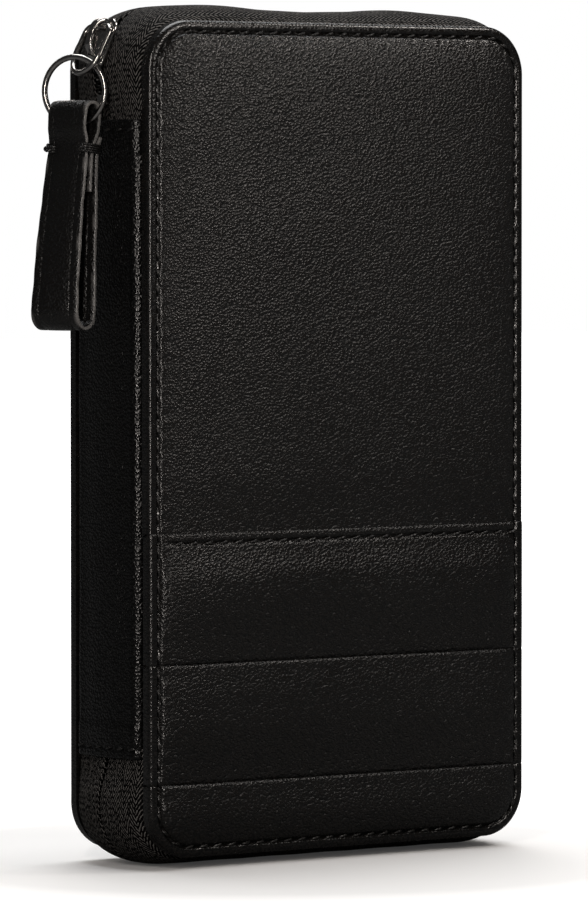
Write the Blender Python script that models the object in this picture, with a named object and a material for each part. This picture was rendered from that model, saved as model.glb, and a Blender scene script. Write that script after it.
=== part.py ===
"""Zip-around travel document organizer, standing on its short end.

Frame: +X across the covers (spine at -X), +Y from the front cover to the back cover, +Z up.
The case is drawn about its own centre line, then the whole tree is moved so that the middle of
the object's base is the world origin. Lengths are in metres.
"""

import math

import bmesh
import bpy
from mathutils import Vector

MM = 0.001

# Driving dimensions
COVER_WIDTH = 125 * MM
COVER_HEIGHT = 220 * MM
CASE_DEPTH = 37 * MM  # over both covers
CORNER_RADIUS = 13 * MM
COVER_THICKNESS = 3.4 * MM
CROWN = 2.8 * MM  # how far the zip stands proud of the covers' outline
GAP = 0.3 * MM

# Covers
RIM_WIDTH = 2.5 * MM
RECESS_DEPTH = 1.9 * MM
BOARD_THICKNESS = 0.7 * MM
FOAM_THICKNESS = 0.8 * MM
LINING_THICKNESS = 0.5 * MM

# Front bands, heights above the cover's lower edge
BAND_TOPS = (85.5 * MM, 51.0 * MM, 19.5 * MM)
BAND_LAP = 4.0 * MM
BAND_REBATE = 0.8 * MM
BAND_PROUD = 0.9 * MM

# Spine, heights above the cover's lower edge
SPINE_LOW = 26 * MM
SPINE_HIGH = 194 * MM
SPINE_BULGE = 2.0 * MM

# Zip
TAPE_THICKNESS = 0.9 * MM
COIL_WIDTH = 2.0 * MM
COIL_DEPTH = 1.8 * MM
SLIT_HALF = 0.6 * MM
MOUTH_HALF = 4.0 * MM  # half the tapes' parting where the slider rests

# Slider and pull
SLIDER_ANGLE = math.radians(160)
SLIDER_LENGTH = 14.2 * MM
SLIDER_NOSE = 8.2 * MM  # its upper end, from the middle of the inner plate
PLATE_THICKNESS = 1.3 * MM
BRIDGE_THICKNESS = 1.2 * MM
BRIDGE_WIDTH = 2.4 * MM
EYE_HEIGHT = 2.4 * MM
LINK_WIRE = 1.5 * MM
LINK_HALF_WIDTH = 5.4 * MM
LINK_LENGTH = 14.0 * MM
LINK_LEAN = math.radians(28)
RING_WIRE = 1.6 * MM
RING_RADIUS = 8.9 * MM
RING_TURN = math.radians(28)
STRAP_WIDTH = 14 * MM
STRAP_THICKNESS = 1.2 * MM
STRAP_DROP = 57 * MM
STRAP_TURN = math.radians(24)
STRAP_LEAN = math.radians(5)

HALF_W = COVER_WIDTH / 2
HALF_D = CASE_DEPTH / 2
COVER_INNER = HALF_D - COVER_THICKNESS
BASE = CROWN  # the covers' lower edge above the floor
TOP = BASE + COVER_HEIGHT
ARC_CENTRE = Vector((-HALF_W + CORNER_RADIUS, 0, TOP - CORNER_RADIUS))
FRONT, BACK = -1, 1
ARC_STEPS = 6


# ---------------------------------------------------------------- materials

def material(name, colour, roughness, metallic=0.0):
    found = bpy.data.materials.get(name)
    if found:
        return found
    made = bpy.data.materials.new(name)
    made.use_nodes = True
    shader = made.node_tree.nodes["Principled BSDF"]
    shader.inputs["Base Color"].default_value = (*colour, 1)
    shader.inputs["Roughness"].default_value = roughness
    shader.inputs["Metallic"].default_value = metallic
    return made


def black_leather():
    return material("black_leather", (0.012, 0.011, 0.011), 0.42)


def pocket_leather():
    return material("pocket_leather", (0.014, 0.013, 0.013), 0.5)


def lining_cloth():
    return material("lining_cloth", (0.02, 0.02, 0.022), 0.85)


def tape_cloth():
    return material("zip_tape", (0.015, 0.015, 0.016), 0.8)


def coil_nylon():
    return material("zip_coil", (0.02, 0.02, 0.02), 0.35)


def stiff_board():
    return material("board", (0.35, 0.29, 0.22), 0.8)


def pad_foam():
    return material("foam", (0.1, 0.1, 0.1), 0.9)


def gunmetal():
    return material("gunmetal", (0.16, 0.155, 0.15), 0.22, 1.0)


def tie_thread():
    return material("tie_thread", (0.02, 0.02, 0.02), 0.7)


# ---------------------------------------------------------------- shape helpers

def add_object(name, mesh, finish, pivot):
    thing = bpy.data.objects.new(name, mesh)
    bpy.context.collection.objects.link(thing)
    mesh.materials.append(finish)
    thing.parent = pivot
    thing.matrix_parent_inverse = pivot.matrix_world.inverted()
    return thing


def mesh_from(name, verts, faces, smooth=False):
    shape = bmesh.new()
    points = [shape.verts.new(v) for v in verts]
    for face in faces:
        shape.faces.new([points[i] for i in face])
    bmesh.ops.recalc_face_normals(shape, faces=shape.faces)
    mesh = bpy.data.meshes.new(name)
    shape.to_mesh(mesh)
    shape.free()
    if smooth:
        mesh.shade_smooth()
        mesh.set_sharp_from_angle(angle=math.radians(40))
    return mesh


def loft(rings, closed=False):
    """Verts and faces of a solid through rings of equal length, capped unless it closes on itself."""
    count = len(rings[0])
    verts = [point for ring in rings for point in ring]
    faces = []
    spans = len(rings) if closed else len(rings) - 1
    for k in range(spans):
        here = k * count
        there = ((k + 1) % len(rings)) * count
        for i in range(count):
            j = (i + 1) % count
            faces.append((here + i, here + j, there + j, there + i))
    if not closed:
        faces.append(tuple(range(count)))
        last = (len(rings) - 1) * count
        faces.append(tuple(last + i for i in range(count)))
    return verts, faces


def slab(name, outline, y_near, y_far, finish, pivot):
    """A plate whose outline is given in X and Z, between two depths."""
    rings = [[(x, y, z) for x, z in outline] for y in (y_near, y_far)]
    verts, faces = loft(rings)
    return add_object(name, mesh_from(name, verts, faces), finish, pivot)


def cover_outline(inset=0.0):
    """The covers' rounded outline in X and Z, pulled in all round by inset."""
    radius = CORNER_RADIUS - inset
    reach_x = HALF_W - CORNER_RADIUS
    points = []
    corners = (
        (reach_x, TOP - CORNER_RADIUS, 0),
        (-reach_x, TOP - CORNER_RADIUS, 90),
        (-reach_x, BASE + CORNER_RADIUS, 180),
        (reach_x, BASE + CORNER_RADIUS, 270),
    )
    for x, z, start in corners:
        for k in range(ARC_STEPS + 1):
            turn = math.radians(start + 90 * k / ARC_STEPS)
            points.append((x + radius * math.cos(turn), z + radius * math.sin(turn)))
    return points


def rounded_panel(x_low, x_high, z_low, z_high, radius, steps=3):
    points = []
    corners = (
        (x_high - radius, z_high - radius, 0),
        (x_low + radius, z_high - radius, 90),
        (x_low + radius, z_low + radius, 180),
        (x_high - radius, z_low + radius, 270),
    )
    for x, z, start in corners:
        for k in range(steps + 1):
            turn = math.radians(start + 90 * k / steps)
            points.append((x + radius * math.cos(turn), z + radius * math.sin(turn)))
    return points


def cutter(name, mesh, pivot):
    tool = bpy.data.objects.new(name, mesh)
    bpy.context.collection.objects.link(tool)
    tool.parent = pivot
    tool.matrix_parent_inverse = pivot.matrix_world.inverted()
    tool.hide_render = True
    tool.display_type = "WIRE"
    return tool


def boolean(target, tool, operation):
    change = target.modifiers.new(tool.name, "BOOLEAN")
    change.operation = operation
    change.object = tool
    change.solver = "EXACT"


def wire_ring(name, path, radius, finish, pivot, sides=8):
    """A closed ring of round wire along a closed path of points."""
    count = len(path)
    centre = sum(path, Vector()) / count
    normal = (path[0] - centre).cross(path[count // 4] - centre).normalized()
    rings = []
    for i, point in enumerate(path):
        along = (path[(i + 1) % count] - path[i - 1]).normalized()
        out = along.cross(normal).normalized()
        ring = []
        for k in range(sides):
            turn = 2 * math.pi * k / sides
            ring.append(point + radius * (math.cos(turn) * out + math.sin(turn) * normal))
        rings.append(ring)
    verts, faces = loft(rings, closed=True)
    return add_object(name, mesh_from(name, verts, faces, smooth=True), finish, pivot)


# ---------------------------------------------------------------- the joints' pivots

def pivot_at(name, place, parent=None):
    empty = bpy.data.objects.new(name, None)
    empty.empty_display_size = 0.01
    bpy.context.collection.objects.link(empty)
    empty.location = place
    if parent:
        empty.parent = parent
        empty.matrix_parent_inverse = parent.matrix_world.inverted()
    bpy.context.view_layer.update()
    return empty


# ---------------------------------------------------------------- covers

def cover_tray(name, side, pivot):
    """The outer leather: a shallow tray whose turned-in edge is the rim round the board and foam."""
    tray = slab(name, cover_outline(), side * HALF_D, side * COVER_INNER, black_leather(), pivot)
    rings = [[(x, y, z) for x, z in cover_outline(RIM_WIDTH)]
             for y in (side * (COVER_INNER - MM), side * (COVER_INNER + RECESS_DEPTH))]
    recess = cutter(name + "_recess", mesh_from(name + "_recess", *loft(rings)), pivot)
    boolean(tray, recess, "DIFFERENCE")
    return tray


def band_rebate(pivot):
    """The cutter that thins the front leather where the three bands lie on it."""
    z_high = BASE + BAND_TOPS[0] + GAP
    corners = [(-HALF_W - MM, BASE - MM), (HALF_W + MM, BASE - MM), (HALF_W + MM, z_high), (-HALF_W - MM, z_high)]
    rings = [[(x, y, z) for x, z in corners] for y in (-HALF_D - MM, -HALF_D + BAND_REBATE)]
    return cutter("band_rebate", mesh_from("band_rebate", *loft(rings)), pivot)


def cover_fillers(prefix, side, pivot):
    """Foam against the leather, board under it, and the lining that closes the tray."""
    foam_outer = COVER_INNER + RECESS_DEPTH - 0.2 * MM
    board_inner = COVER_INNER
    slab(prefix + "_foam", cover_outline(RIM_WIDTH + GAP), side * foam_outer,
         side * (foam_outer - FOAM_THICKNESS), pad_foam(), pivot)
    slab(prefix + "_board", cover_outline(RIM_WIDTH + GAP), side * (board_inner + BOARD_THICKNESS),
         side * board_inner, stiff_board(), pivot)
    lining_outer = COVER_INNER - GAP
    slab(prefix + "_lining", cover_outline(RIM_WIDTH + 2 * GAP), side * lining_outer,
         side * (lining_outer - LINING_THICKNESS), lining_cloth(), pivot)


def front_band(name, z_low, z_high, is_lowest, is_top, pivot):
    """One shingled band: a wedge whose top edge stands proud and whose foot tucks under the next."""
    bed = -HALF_D + BAND_REBATE - GAP
    foot = BASE + z_low - (0 if is_lowest else BAND_LAP)
    head = BASE + z_high
    profile = [(bed, foot), (-HALF_D + 0.1 * MM, foot), (-HALF_D - BAND_PROUD, head)]
    if is_top:
        profile.append((bed, head))
    else:
        lap = -HALF_D - GAP
        lap_foot = head - BAND_LAP - GAP
        profile += [(lap, head), (lap, lap_foot), (bed, lap_foot)]
    rings = [[(x, y, z) for y, z in profile] for x in (-HALF_W, HALF_W)]
    band = add_object(name, mesh_from(name, *loft(rings)), black_leather(), pivot)
    if is_lowest:
        rings = [[(x, y, z) for x, z in cover_outline()] for y in (-HALF_D - 2 * MM, 0)]
        shape = cutter(name + "_outline", mesh_from(name + "_outline", *loft(rings)), pivot)
        boolean(band, shape, "INTERSECT")
    return band


def front_bands(pivot):
    names = ("front_band_upper", "front_band_middle", "front_band_lower")
    floors = (*BAND_TOPS[1:], 0.0)
    for k, name in enumerate(names):
        front_band(name, floors[k], BAND_TOPS[k], k == len(names) - 1, k == 0, pivot)


# ---------------------------------------------------------------- zip

def zip_route():
    """Base points, outward normals and slit half-widths from above the spine, over the top and back to it."""
    reach_x = HALF_W - CORNER_RADIUS
    high, low = TOP - CORNER_RADIUS, BASE + CORNER_RADIUS
    mouth_end = (high - BASE - SPINE_HIGH) + math.radians(45) * CORNER_RADIUS
    mouth_taper = math.radians(40) * CORNER_RADIUS
    stations = [((-HALF_W, BASE + SPINE_HIGH + 2 * GAP), (-1, 0))]

    def corner(x, z, start):
        for k in range(ARC_STEPS + 1):
            turn = math.radians(start - 90 * k / ARC_STEPS)
            normal = (math.cos(turn), math.sin(turn))
            stations.append(((x + CORNER_RADIUS * normal[0], z + CORNER_RADIUS * normal[1]), normal))

    corner(-reach_x, high, 180)
    corner(reach_x, high, 90)
    corner(reach_x, low, 0)
    corner(-reach_x, low, -90)
    stations.append(((-HALF_W, BASE + SPINE_LOW - 2 * GAP), (-1, 0)))
    route = []
    travelled = 0.0
    before = stations[0][0]
    for base, normal in stations:
        travelled += math.dist(before, base)
        before = base
        shut = min(1.0, max(0.0, (travelled - mouth_end) / mouth_taper))
        route.append((base, normal, MOUTH_HALF + (SLIT_HALF - MOUTH_HALF) * shut))
    return route


def sweep_along_zip(name, side, section_of, finish, pivot):
    rings = []
    for (x, z), normal, slit in zip_route():
        rings.append([(x + out * normal[0], side * y, z + out * normal[1]) for out, y in section_of(slit)])
    mesh = mesh_from(name, *loft(rings))
    return add_object(name, mesh, finish, pivot)


def tape_section(slit):
    """The tape's cross-section as (outward, across): from under the cover's edge up over the crown."""
    edge = COVER_INNER - GAP
    outer = [(-1.6 * MM, edge), (0.9 * MM, 12 * MM), (2.3 * MM, 9 * MM), (CROWN, 6 * MM), (CROWN, slit)]
    inner = [(out - TAPE_THICKNESS, y) for out, y in reversed(outer)]
    return outer + inner


def coil_section(slit):
    high = CROWN - TAPE_THICKNESS - GAP
    low = high - COIL_DEPTH
    far = slit + COIL_WIDTH
    return [(high, slit), (high, far), (low + 0.5 * MM, far), (low, far - 0.5 * MM), (low, slit)]


def zip_half(prefix, side, pivot):
    sweep_along_zip("zip_tape_" + prefix, side, tape_section, tape_cloth(), pivot)
    sweep_along_zip("zip_coil_" + prefix, side, coil_section, coil_nylon(), pivot)


# ---------------------------------------------------------------- spine

def spine_layer(name, outer, thickness, z_low, z_high, finish, pivot, inset=0.0):
    """One layer of the spine, bowed outwards across its width; outer is its offset inwards from the skin."""
    half = COVER_INNER - GAP - inset
    steps = 8
    bow = []
    for k in range(steps + 1):
        y = half * (2 * k / steps - 1)
        bow.append((-HALF_W - SPINE_BULGE * (1 - (y / COVER_INNER) ** 2) + outer, y))
    profile = bow + [(x + thickness, y) for x, y in reversed(bow)]
    rings = [[(x, y, z) for x, y in profile] for z in (z_low, z_high)]
    return add_object(name, mesh_from(name, *loft(rings)), finish, pivot)


def box_panel(name, corner_a, corner_b, finish, pivot):
    """A small rectangular block between two opposite corners."""
    (xa, ya, za), (xb, yb, zb) = corner_a, corner_b
    rings = [[(x, ya, za), (x, yb, za), (x, yb, zb), (x, ya, zb)] for x in (xa, xb)]
    return add_object(name, mesh_from(name, *loft(rings)), finish, pivot)


def spine_parts(pivot):
    low, high = BASE + SPINE_LOW, BASE + SPINE_HIGH
    hem = 12 * MM
    spine_layer("spine_leather", 0.2 * MM, 1.0 * MM, low, high, black_leather(), pivot)
    spine_layer("spine_board", 1.5 * MM, 0.7 * MM, low + hem, high - hem, stiff_board(), pivot, inset=1.5 * MM)
    spine_layer("spine_lining", 2.5 * MM, 0.5 * MM, low + 2 * MM, high - 2 * MM, lining_cloth(), pivot,
                inset=0.5 * MM)
    tab_out, tab_in = -HALF_W - 0.5 * MM, -HALF_W + 0.2 * MM
    tuck = 9 * MM
    box_panel("zip_end_tab_upper", (tab_out, -3.2 * MM, high - tuck), (tab_in, 3.2 * MM, high + tuck),
              tape_cloth(), pivot)
    box_panel("zip_stop_upper", (tab_out - 1.5 * MM, -2.2 * MM, high + 4 * MM),
              (tab_out - GAP, 2.2 * MM, high + 6.5 * MM), gunmetal(), pivot)
    box_panel("zip_end_tab_lower", (tab_out, -3.2 * MM, low + MM), (tab_in, 3.2 * MM, low + tuck),
              tape_cloth(), pivot)


# ---------------------------------------------------------------- slider and pull

def slider_place(out, along, across=0.0, angle=SLIDER_ANGLE):
    """A point at a distance out from the corner's centre, along the zip (up) and across it."""
    away = Vector((math.cos(angle), 0, math.sin(angle)))
    up = Vector((math.sin(angle), 0, -math.cos(angle)))
    return ARC_CENTRE + out * away + along * up + Vector((0, across, 0))


PLATE_LOW = CORNER_RADIUS + CROWN + GAP
PLATE_HIGH = PLATE_LOW + PLATE_THICKNESS
EYE_ALONG = 5.5 * MM


def slider_solid(name, sections, finish, pivot):
    """A solid through (along, list of (out, across)) sections."""
    rings = [[slider_place(out, along, across) for out, across in ring] for along, ring in sections]
    return add_object(name, mesh_from(name, *loft(rings)), finish, pivot)


def slider_body(pivot):
    """Top plate, the post through the slit and the short inner plate, as one casting with its bridge."""
    tail, nose = SLIDER_NOSE - SLIDER_LENGTH, SLIDER_NOSE
    stations = ((tail, 2.4), (tail + 2 * MM, 3.6), (0, 4.2), (nose - 2.5 * MM, 4.6), (nose, 3.4))
    rows = []
    for along, wide in stations:
        wide *= MM
        bevel = 0.35 * MM
        rows.append((along, [(PLATE_LOW, -wide), (PLATE_HIGH - bevel, -wide), (PLATE_HIGH, -wide + bevel),
                             (PLATE_HIGH, wide - bevel), (PLATE_HIGH - bevel, wide), (PLATE_LOW, wide)]))
    body = slider_solid("slider_body", rows, gunmetal(), pivot)

    post_low = CORNER_RADIUS - 2.4 * MM
    post_half = 0.3 * MM
    post = [(PLATE_LOW + 0.5 * MM, -post_half), (PLATE_LOW + 0.5 * MM, post_half),
            (post_low, post_half), (post_low, -post_half)]
    inner_high = CORNER_RADIUS - 1.0 * MM
    inner = [(inner_high, -3 * MM), (inner_high, 3 * MM), (inner_high - 1.2 * MM, 2.6 * MM),
             (inner_high - 1.2 * MM, -2.6 * MM)]
    for tag, ring, reach in (("post", post, 1.6 * MM), ("inner", inner, 3.0 * MM)):
        rings = [[slider_place(out, along, across) for out, across in ring] for along in (-reach, reach)]
        tool = cutter("slider_" + tag, mesh_from("slider_" + tag, *loft(rings)), pivot)
        boolean(body, tool, "UNION")


def slider_bridge(pivot):
    """The arched bar over the plate; the link's top wire runs through its eye."""
    clear = PLATE_HIGH + GAP
    eye_top = PLATE_HIGH + EYE_HEIGHT
    outer_top = eye_top + BRIDGE_THICKNESS
    low_end, high_end = -3.5 * MM, 7.9 * MM
    slope = 1.6 * MM
    profile = [
        (low_end, clear), (low_end + slope, outer_top - 0.5 * MM), (low_end + 2 * slope, outer_top),
        (high_end - slope, outer_top), (high_end, outer_top - 1.0 * MM), (high_end, clear),
        (high_end - BRIDGE_THICKNESS, clear), (high_end - BRIDGE_THICKNESS, eye_top - 0.4 * MM),
        (high_end - BRIDGE_THICKNESS - 0.6 * MM, eye_top), (low_end + 2 * slope + 0.3 * MM, eye_top),
        (low_end + BRIDGE_THICKNESS + 0.4 * MM, clear),
    ]
    half = BRIDGE_WIDTH / 2
    rings = [[slider_place(out, along, across) for along, out in profile] for across in (-half, half)]
    add_object("slider_bridge", mesh_from("slider_bridge", *loft(rings)), gunmetal(), pivot)


def link_top():
    return slider_place(PLATE_HIGH + 1.25 * MM, EYE_ALONG)


def link_down():
    return Vector((-math.sin(LINK_LEAN), 0, -math.cos(LINK_LEAN)))


def pull_link(pivot):
    """A bail of wire: straight along the eye, round at the foot."""
    small = 2.2 * MM
    path = []

    def arc(across, down, radius, start, end, steps):
        for k in range(steps):
            turn = math.radians(start + (end - start) * k / steps)
            path.append(link_top() + (down + radius * math.sin(turn)) * link_down()
                        + Vector((0, across + radius * math.cos(turn), 0)))

    arc(LINK_HALF_WIDTH - small, small, small, -90, 0, 4)
    arc(0, LINK_LENGTH - LINK_HALF_WIDTH, LINK_HALF_WIDTH, 0, 180, 16)
    arc(-LINK_HALF_WIDTH + small, small, small, 180, 270, 4)
    path.append(link_top() + Vector((0, -LINK_HALF_WIDTH + small, 0)))
    wire_ring("pull_link", path, LINK_WIRE / 2, gunmetal(), pivot)


def ring_centre():
    """The ring hangs in the link's foot, a little outside it and towards the back."""
    foot = link_top() + LINK_LENGTH * link_down()
    return foot + Vector((0.2 * MM, 2.4 * MM, -4.7 * MM))


def jump_ring(pivot):
    across = Vector((math.sin(RING_TURN), -math.cos(RING_TURN), 0))
    path = []
    steps = 32
    for k in range(steps):
        turn = 2 * math.pi * k / steps
        path.append(ring_centre() + RING_RADIUS * (math.cos(turn) * across + math.sin(turn) * Vector((0, 0, 1))))
    wire_ring("jump_ring", path, RING_WIRE / 2, gunmetal(), pivot)


def strap_axes():
    """Outward, along the fold, and down the hanging strap."""
    flat_out = Vector((-math.cos(STRAP_TURN), -math.sin(STRAP_TURN), 0))
    fold = Vector((math.sin(STRAP_TURN), -math.cos(STRAP_TURN), 0))
    down = Vector((0, 0, -math.cos(STRAP_LEAN))) + math.sin(STRAP_LEAN) * flat_out
    return down.cross(fold).normalized(), fold, down


def strap_fold():
    """The centre of the strap's fold, where the ring's wire enters its two edges."""
    rise = RING_RADIUS - math.sqrt(RING_RADIUS**2 - (STRAP_WIDTH / 2) ** 2)
    return ring_centre() + Vector((0, 0, -RING_RADIUS + rise))


def strap_centreline():
    """(outward, down) points of the one strip: tongue, fold over the ring, face, bottom turn, back."""
    eye = 2.5 * MM
    path = [(-0.1 * MM, 21 * MM), (-0.3 * MM, 12 * MM), (-1.0 * MM, 8.5 * MM), (-eye, 4.4 * MM)]
    for k in range(7):
        turn = math.radians(180 * k / 6)
        path.append((-eye * math.cos(turn), -eye * math.sin(turn)))
    bend = 3.6 * MM
    path += [(eye, 4.4 * MM), (1.6 * MM, 9.5 * MM), (2.4 * MM, 24 * MM), (bend + 0.6 * MM, STRAP_DROP - 6 * MM)]
    for k in range(7):
        turn = math.radians(180 * k / 6)
        path.append((0.6 * MM + bend * math.cos(turn), STRAP_DROP + bend * math.sin(turn) - bend))
    path += [(-2.6 * MM, 24 * MM), (-2.3 * MM, 11 * MM), (-3.3 * MM, 6.5 * MM)]
    return path


def pull_tab(pivot):
    outward, fold, down = strap_axes()
    centre = strap_fold()
    path = strap_centreline()
    left, right = [], []
    for i, (a, b) in enumerate(path):
        a0, b0 = path[max(i - 1, 0)]
        a1, b1 = path[min(i + 1, len(path) - 1)]
        size = math.hypot(a1 - a0, b1 - b0)
        na, nb = -(b1 - b0) / size, (a1 - a0) / size
        half = STRAP_THICKNESS / 2
        left.append((a + half * na, b + half * nb))
        right.append((a - half * na, b - half * nb))
    profile = left + right[::-1]
    rings = [[centre + a * outward + b * down + s * fold for a, b in profile]
             for s in (-STRAP_WIDTH / 2, STRAP_WIDTH / 2)]
    # the strip's sides are quads between its two faces, so its two ends need no n-gon
    count = len(path)
    total = len(profile)
    verts = [point for ring in rings for point in ring]
    faces = []
    for i in range(total):
        j = (i + 1) % total
        faces.append((i, j, total + j, total + i))
    for i in range(count - 1):
        quad = (i, i + 1, total - 2 - i, total - 1 - i)
        faces.append(quad)
        faces.append(tuple(total + v for v in quad))
    add_object("pull_tab_strap", mesh_from("pull_tab_strap", verts, faces), black_leather(), pivot)


def pull_tab_tie(pivot):
    """A few turns of waxed thread round the strap below the ring."""
    outward, fold, down = strap_axes()
    centre = strap_fold() + 9.8 * MM * down - 0.3 * MM * outward
    reach_out, reach_fold = 3.5 * MM, STRAP_WIDTH / 2 + 0.9 * MM
    path = []
    for side_out, side_fold, start in ((1, 1, 0), (-1, 1, 90), (-1, -1, 180), (1, -1, 270)):
        radius = 0.9 * MM
        for k in range(4):
            turn = math.radians(start + 90 * k / 3)
            a = side_out * (reach_out - radius) + radius * math.cos(turn)
            s = side_fold * (reach_fold - radius) + radius * math.sin(turn)
            path.append(centre + a * outward + s * fold)
    wire_ring("pull_tab_tie", path, 0.5 * MM, tie_thread(), pivot, sides=6)


# ---------------------------------------------------------------- inside

def front_pockets(pivot):
    """On the front half: a full-height slip pocket and four stepped card slots."""
    top_of_lining = COVER_INNER - GAP - LINING_THICKNESS
    slip = top_of_lining - GAP
    thick = 0.8 * MM
    slab("currency_pocket", rounded_panel(-54 * MM, 54 * MM, BASE + 8 * MM, BASE + 192 * MM, 4 * MM),
         -slip, -(slip - thick), pocket_leather(), pivot)
    face = slip - thick - GAP
    for k in range(4):
        z_high = BASE + (168 - 20 * k) * MM
        outline = rounded_panel(-49 * MM, 49 * MM, BASE + 46 * MM, z_high, 2 * MM)
        slab("card_slot_%d" % (k + 1), outline, -face, -(face - thick), pocket_leather(), pivot)
        face -= thick + GAP


def back_pockets(pivot):
    """On the back half: a boarding-pass pocket, a passport pocket with a real mouth, and a pen loop."""
    top_of_lining = COVER_INNER - GAP - LINING_THICKNESS
    thick = 0.8 * MM
    slip = top_of_lining - GAP
    slab("boarding_pass_pocket", rounded_panel(-54 * MM, 54 * MM, BASE + 8 * MM, BASE + 178 * MM, 4 * MM),
         slip, slip - thick, pocket_leather(), pivot)
    deep = slip - thick - GAP
    room = 4.6 * MM
    shallow = deep - room - 1.0 * MM
    z_low, z_high = BASE + 14 * MM, BASE + 142 * MM
    x_low, x_high = -40 * MM, 56 * MM
    pocket = slab("passport_pocket", rounded_panel(x_low, x_high, z_low, z_high, 3 * MM), deep, shallow,
                  pocket_leather(), pivot)
    hem = 2.5 * MM
    corners = [(x_low + hem, z_low + hem), (x_high - hem, z_low + hem), (x_high - hem, z_high + MM),
               (x_low + hem, z_high + MM)]
    rings = [[(x, y, z) for x, z in corners] for y in (deep + MM, deep - room)]
    room_cutter = cutter("passport_room", mesh_from("passport_room", *loft(rings)), pivot)
    boolean(pocket, room_cutter, "DIFFERENCE")

    loop_low, loop_high = BASE + 92 * MM, BASE + 122 * MM
    y_high, y_low = deep, 2.4 * MM
    pen_x = (-55.5 * MM, -42.5 * MM)
    loop = slab("pen_loop", [(pen_x[0], loop_low), (pen_x[1], loop_low), (pen_x[1], loop_high),
                             (pen_x[0], loop_high)], y_high, y_low, lining_cloth(), pivot)
    wall = 1.0 * MM
    rings = []
    for z in (loop_low - MM, loop_high + MM):
        rings.append([(pen_x[0] + wall, y_low + wall, z), (pen_x[1] - wall, y_low + wall, z),
                      (pen_x[1] - wall, y_high - wall, z), (pen_x[0] + wall, y_high - wall, z)])
    bore = cutter("pen_room", mesh_from("pen_room", *loft(rings)), pivot)
    boolean(loop, bore, "DIFFERENCE")


# ---------------------------------------------------------------- assembly

def clear_scene():
    for thing in list(bpy.data.objects):
        bpy.data.objects.remove(thing, do_unlink=True)


def stand_on_origin(root):
    """Move the tree so that the middle of the object's box is over the origin."""
    bpy.context.view_layer.update()
    depsgraph = bpy.context.evaluated_depsgraph_get()
    points = []
    for thing in bpy.context.scene.objects:
        if thing.type == "MESH" and not thing.hide_render:
            shown = thing.evaluated_get(depsgraph)
            points += [shown.matrix_world @ Vector(corner) for corner in shown.bound_box]
    for axis in (0, 1):
        values = [point[axis] for point in points]
        root.location[axis] = -(min(values) + max(values)) / 2


def main():
    clear_scene()
    root = pivot_at("organizer", (0, 0, 0))
    spine = pivot_at("spine_pivot", (-HALF_W, COVER_INNER, BASE + COVER_HEIGHT / 2), root)
    front = pivot_at("front_pivot", (-HALF_W, -COVER_INNER, BASE + COVER_HEIGHT / 2), spine)
    slider = pivot_at("slider_pivot", ARC_CENTRE, spine)
    link = pivot_at("link_pivot", link_top(), slider)
    ring = pivot_at("ring_pivot", link_top() + LINK_LENGTH * link_down(), link)
    tab = pivot_at("tab_pivot", strap_fold(), ring)

    cover_tray("back_cover_leather", BACK, root)
    cover_fillers("back_cover", BACK, root)
    zip_half("back", BACK, root)
    back_pockets(root)

    front_leather = cover_tray("front_cover_leather", FRONT, front)
    boolean(front_leather, band_rebate(front), "DIFFERENCE")
    cover_fillers("front_cover", FRONT, front)
    front_bands(front)
    zip_half("front", FRONT, front)
    front_pockets(front)

    spine_parts(spine)
    slider_body(slider)
    slider_bridge(slider)
    pull_link(link)
    jump_ring(ring)
    pull_tab(tab)
    pull_tab_tie(tab)
    stand_on_origin(root)


main()
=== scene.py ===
import math

import bpy
import numpy as np
from mathutils import Matrix, Vector


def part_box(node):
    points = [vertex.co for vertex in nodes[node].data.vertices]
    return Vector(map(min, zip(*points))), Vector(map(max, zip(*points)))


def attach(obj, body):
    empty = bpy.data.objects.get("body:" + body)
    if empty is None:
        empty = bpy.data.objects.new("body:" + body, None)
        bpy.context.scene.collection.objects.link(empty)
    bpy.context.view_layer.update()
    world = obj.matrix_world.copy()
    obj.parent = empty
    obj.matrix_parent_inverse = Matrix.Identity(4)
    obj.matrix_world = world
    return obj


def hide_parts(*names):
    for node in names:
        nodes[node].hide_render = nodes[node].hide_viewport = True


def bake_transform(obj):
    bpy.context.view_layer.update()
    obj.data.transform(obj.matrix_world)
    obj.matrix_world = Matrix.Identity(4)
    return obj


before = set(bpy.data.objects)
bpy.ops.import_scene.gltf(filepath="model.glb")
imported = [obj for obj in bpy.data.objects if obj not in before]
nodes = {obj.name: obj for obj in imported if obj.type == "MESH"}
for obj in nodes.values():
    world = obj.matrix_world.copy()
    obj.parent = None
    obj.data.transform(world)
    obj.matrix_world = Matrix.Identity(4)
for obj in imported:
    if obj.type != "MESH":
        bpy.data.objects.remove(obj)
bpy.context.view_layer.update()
mm = 0.001

print("travel organizer: frame loaded,", len(nodes), "parts")


# the case's own measures, read off the frame
frontLow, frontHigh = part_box("front_cover_leather")
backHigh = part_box("back_cover_leather")[1]
case = {
    "midX": (frontLow[0] + frontHigh[0]) / 2,
    "midY": (frontLow[1] + backHigh[1]) / 2,
    "midZ": (frontLow[2] + frontHigh[2]) / 2,
    "halfWidth": (frontHigh[0] - frontLow[0]) / 2,
    "halfHeight": (frontHigh[2] - frontLow[2]) / 2,
    "halfDepth": (backHigh[1] - frontLow[1]) / 2,
    "innerDepth": 15.1 * mm,    # covers' inner faces, from the middle
    "corner": 13 * mm,
}
flatX = case["halfWidth"] - case["corner"]
flatZ = case["halfHeight"] - case["corner"]
caseMid = Vector((case["midX"], case["midY"], case["midZ"]))


# small helpers
def takeUp(piece):
    bpy.ops.object.select_all(action="DESELECT")
    piece.select_set(True)
    bpy.context.view_layer.objects.active = piece


def readSpots(piece):
    flat = np.empty(len(piece.data.vertices) * 3)
    piece.data.vertices.foreach_get("co", flat)
    return flat.reshape(-1, 3)


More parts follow.
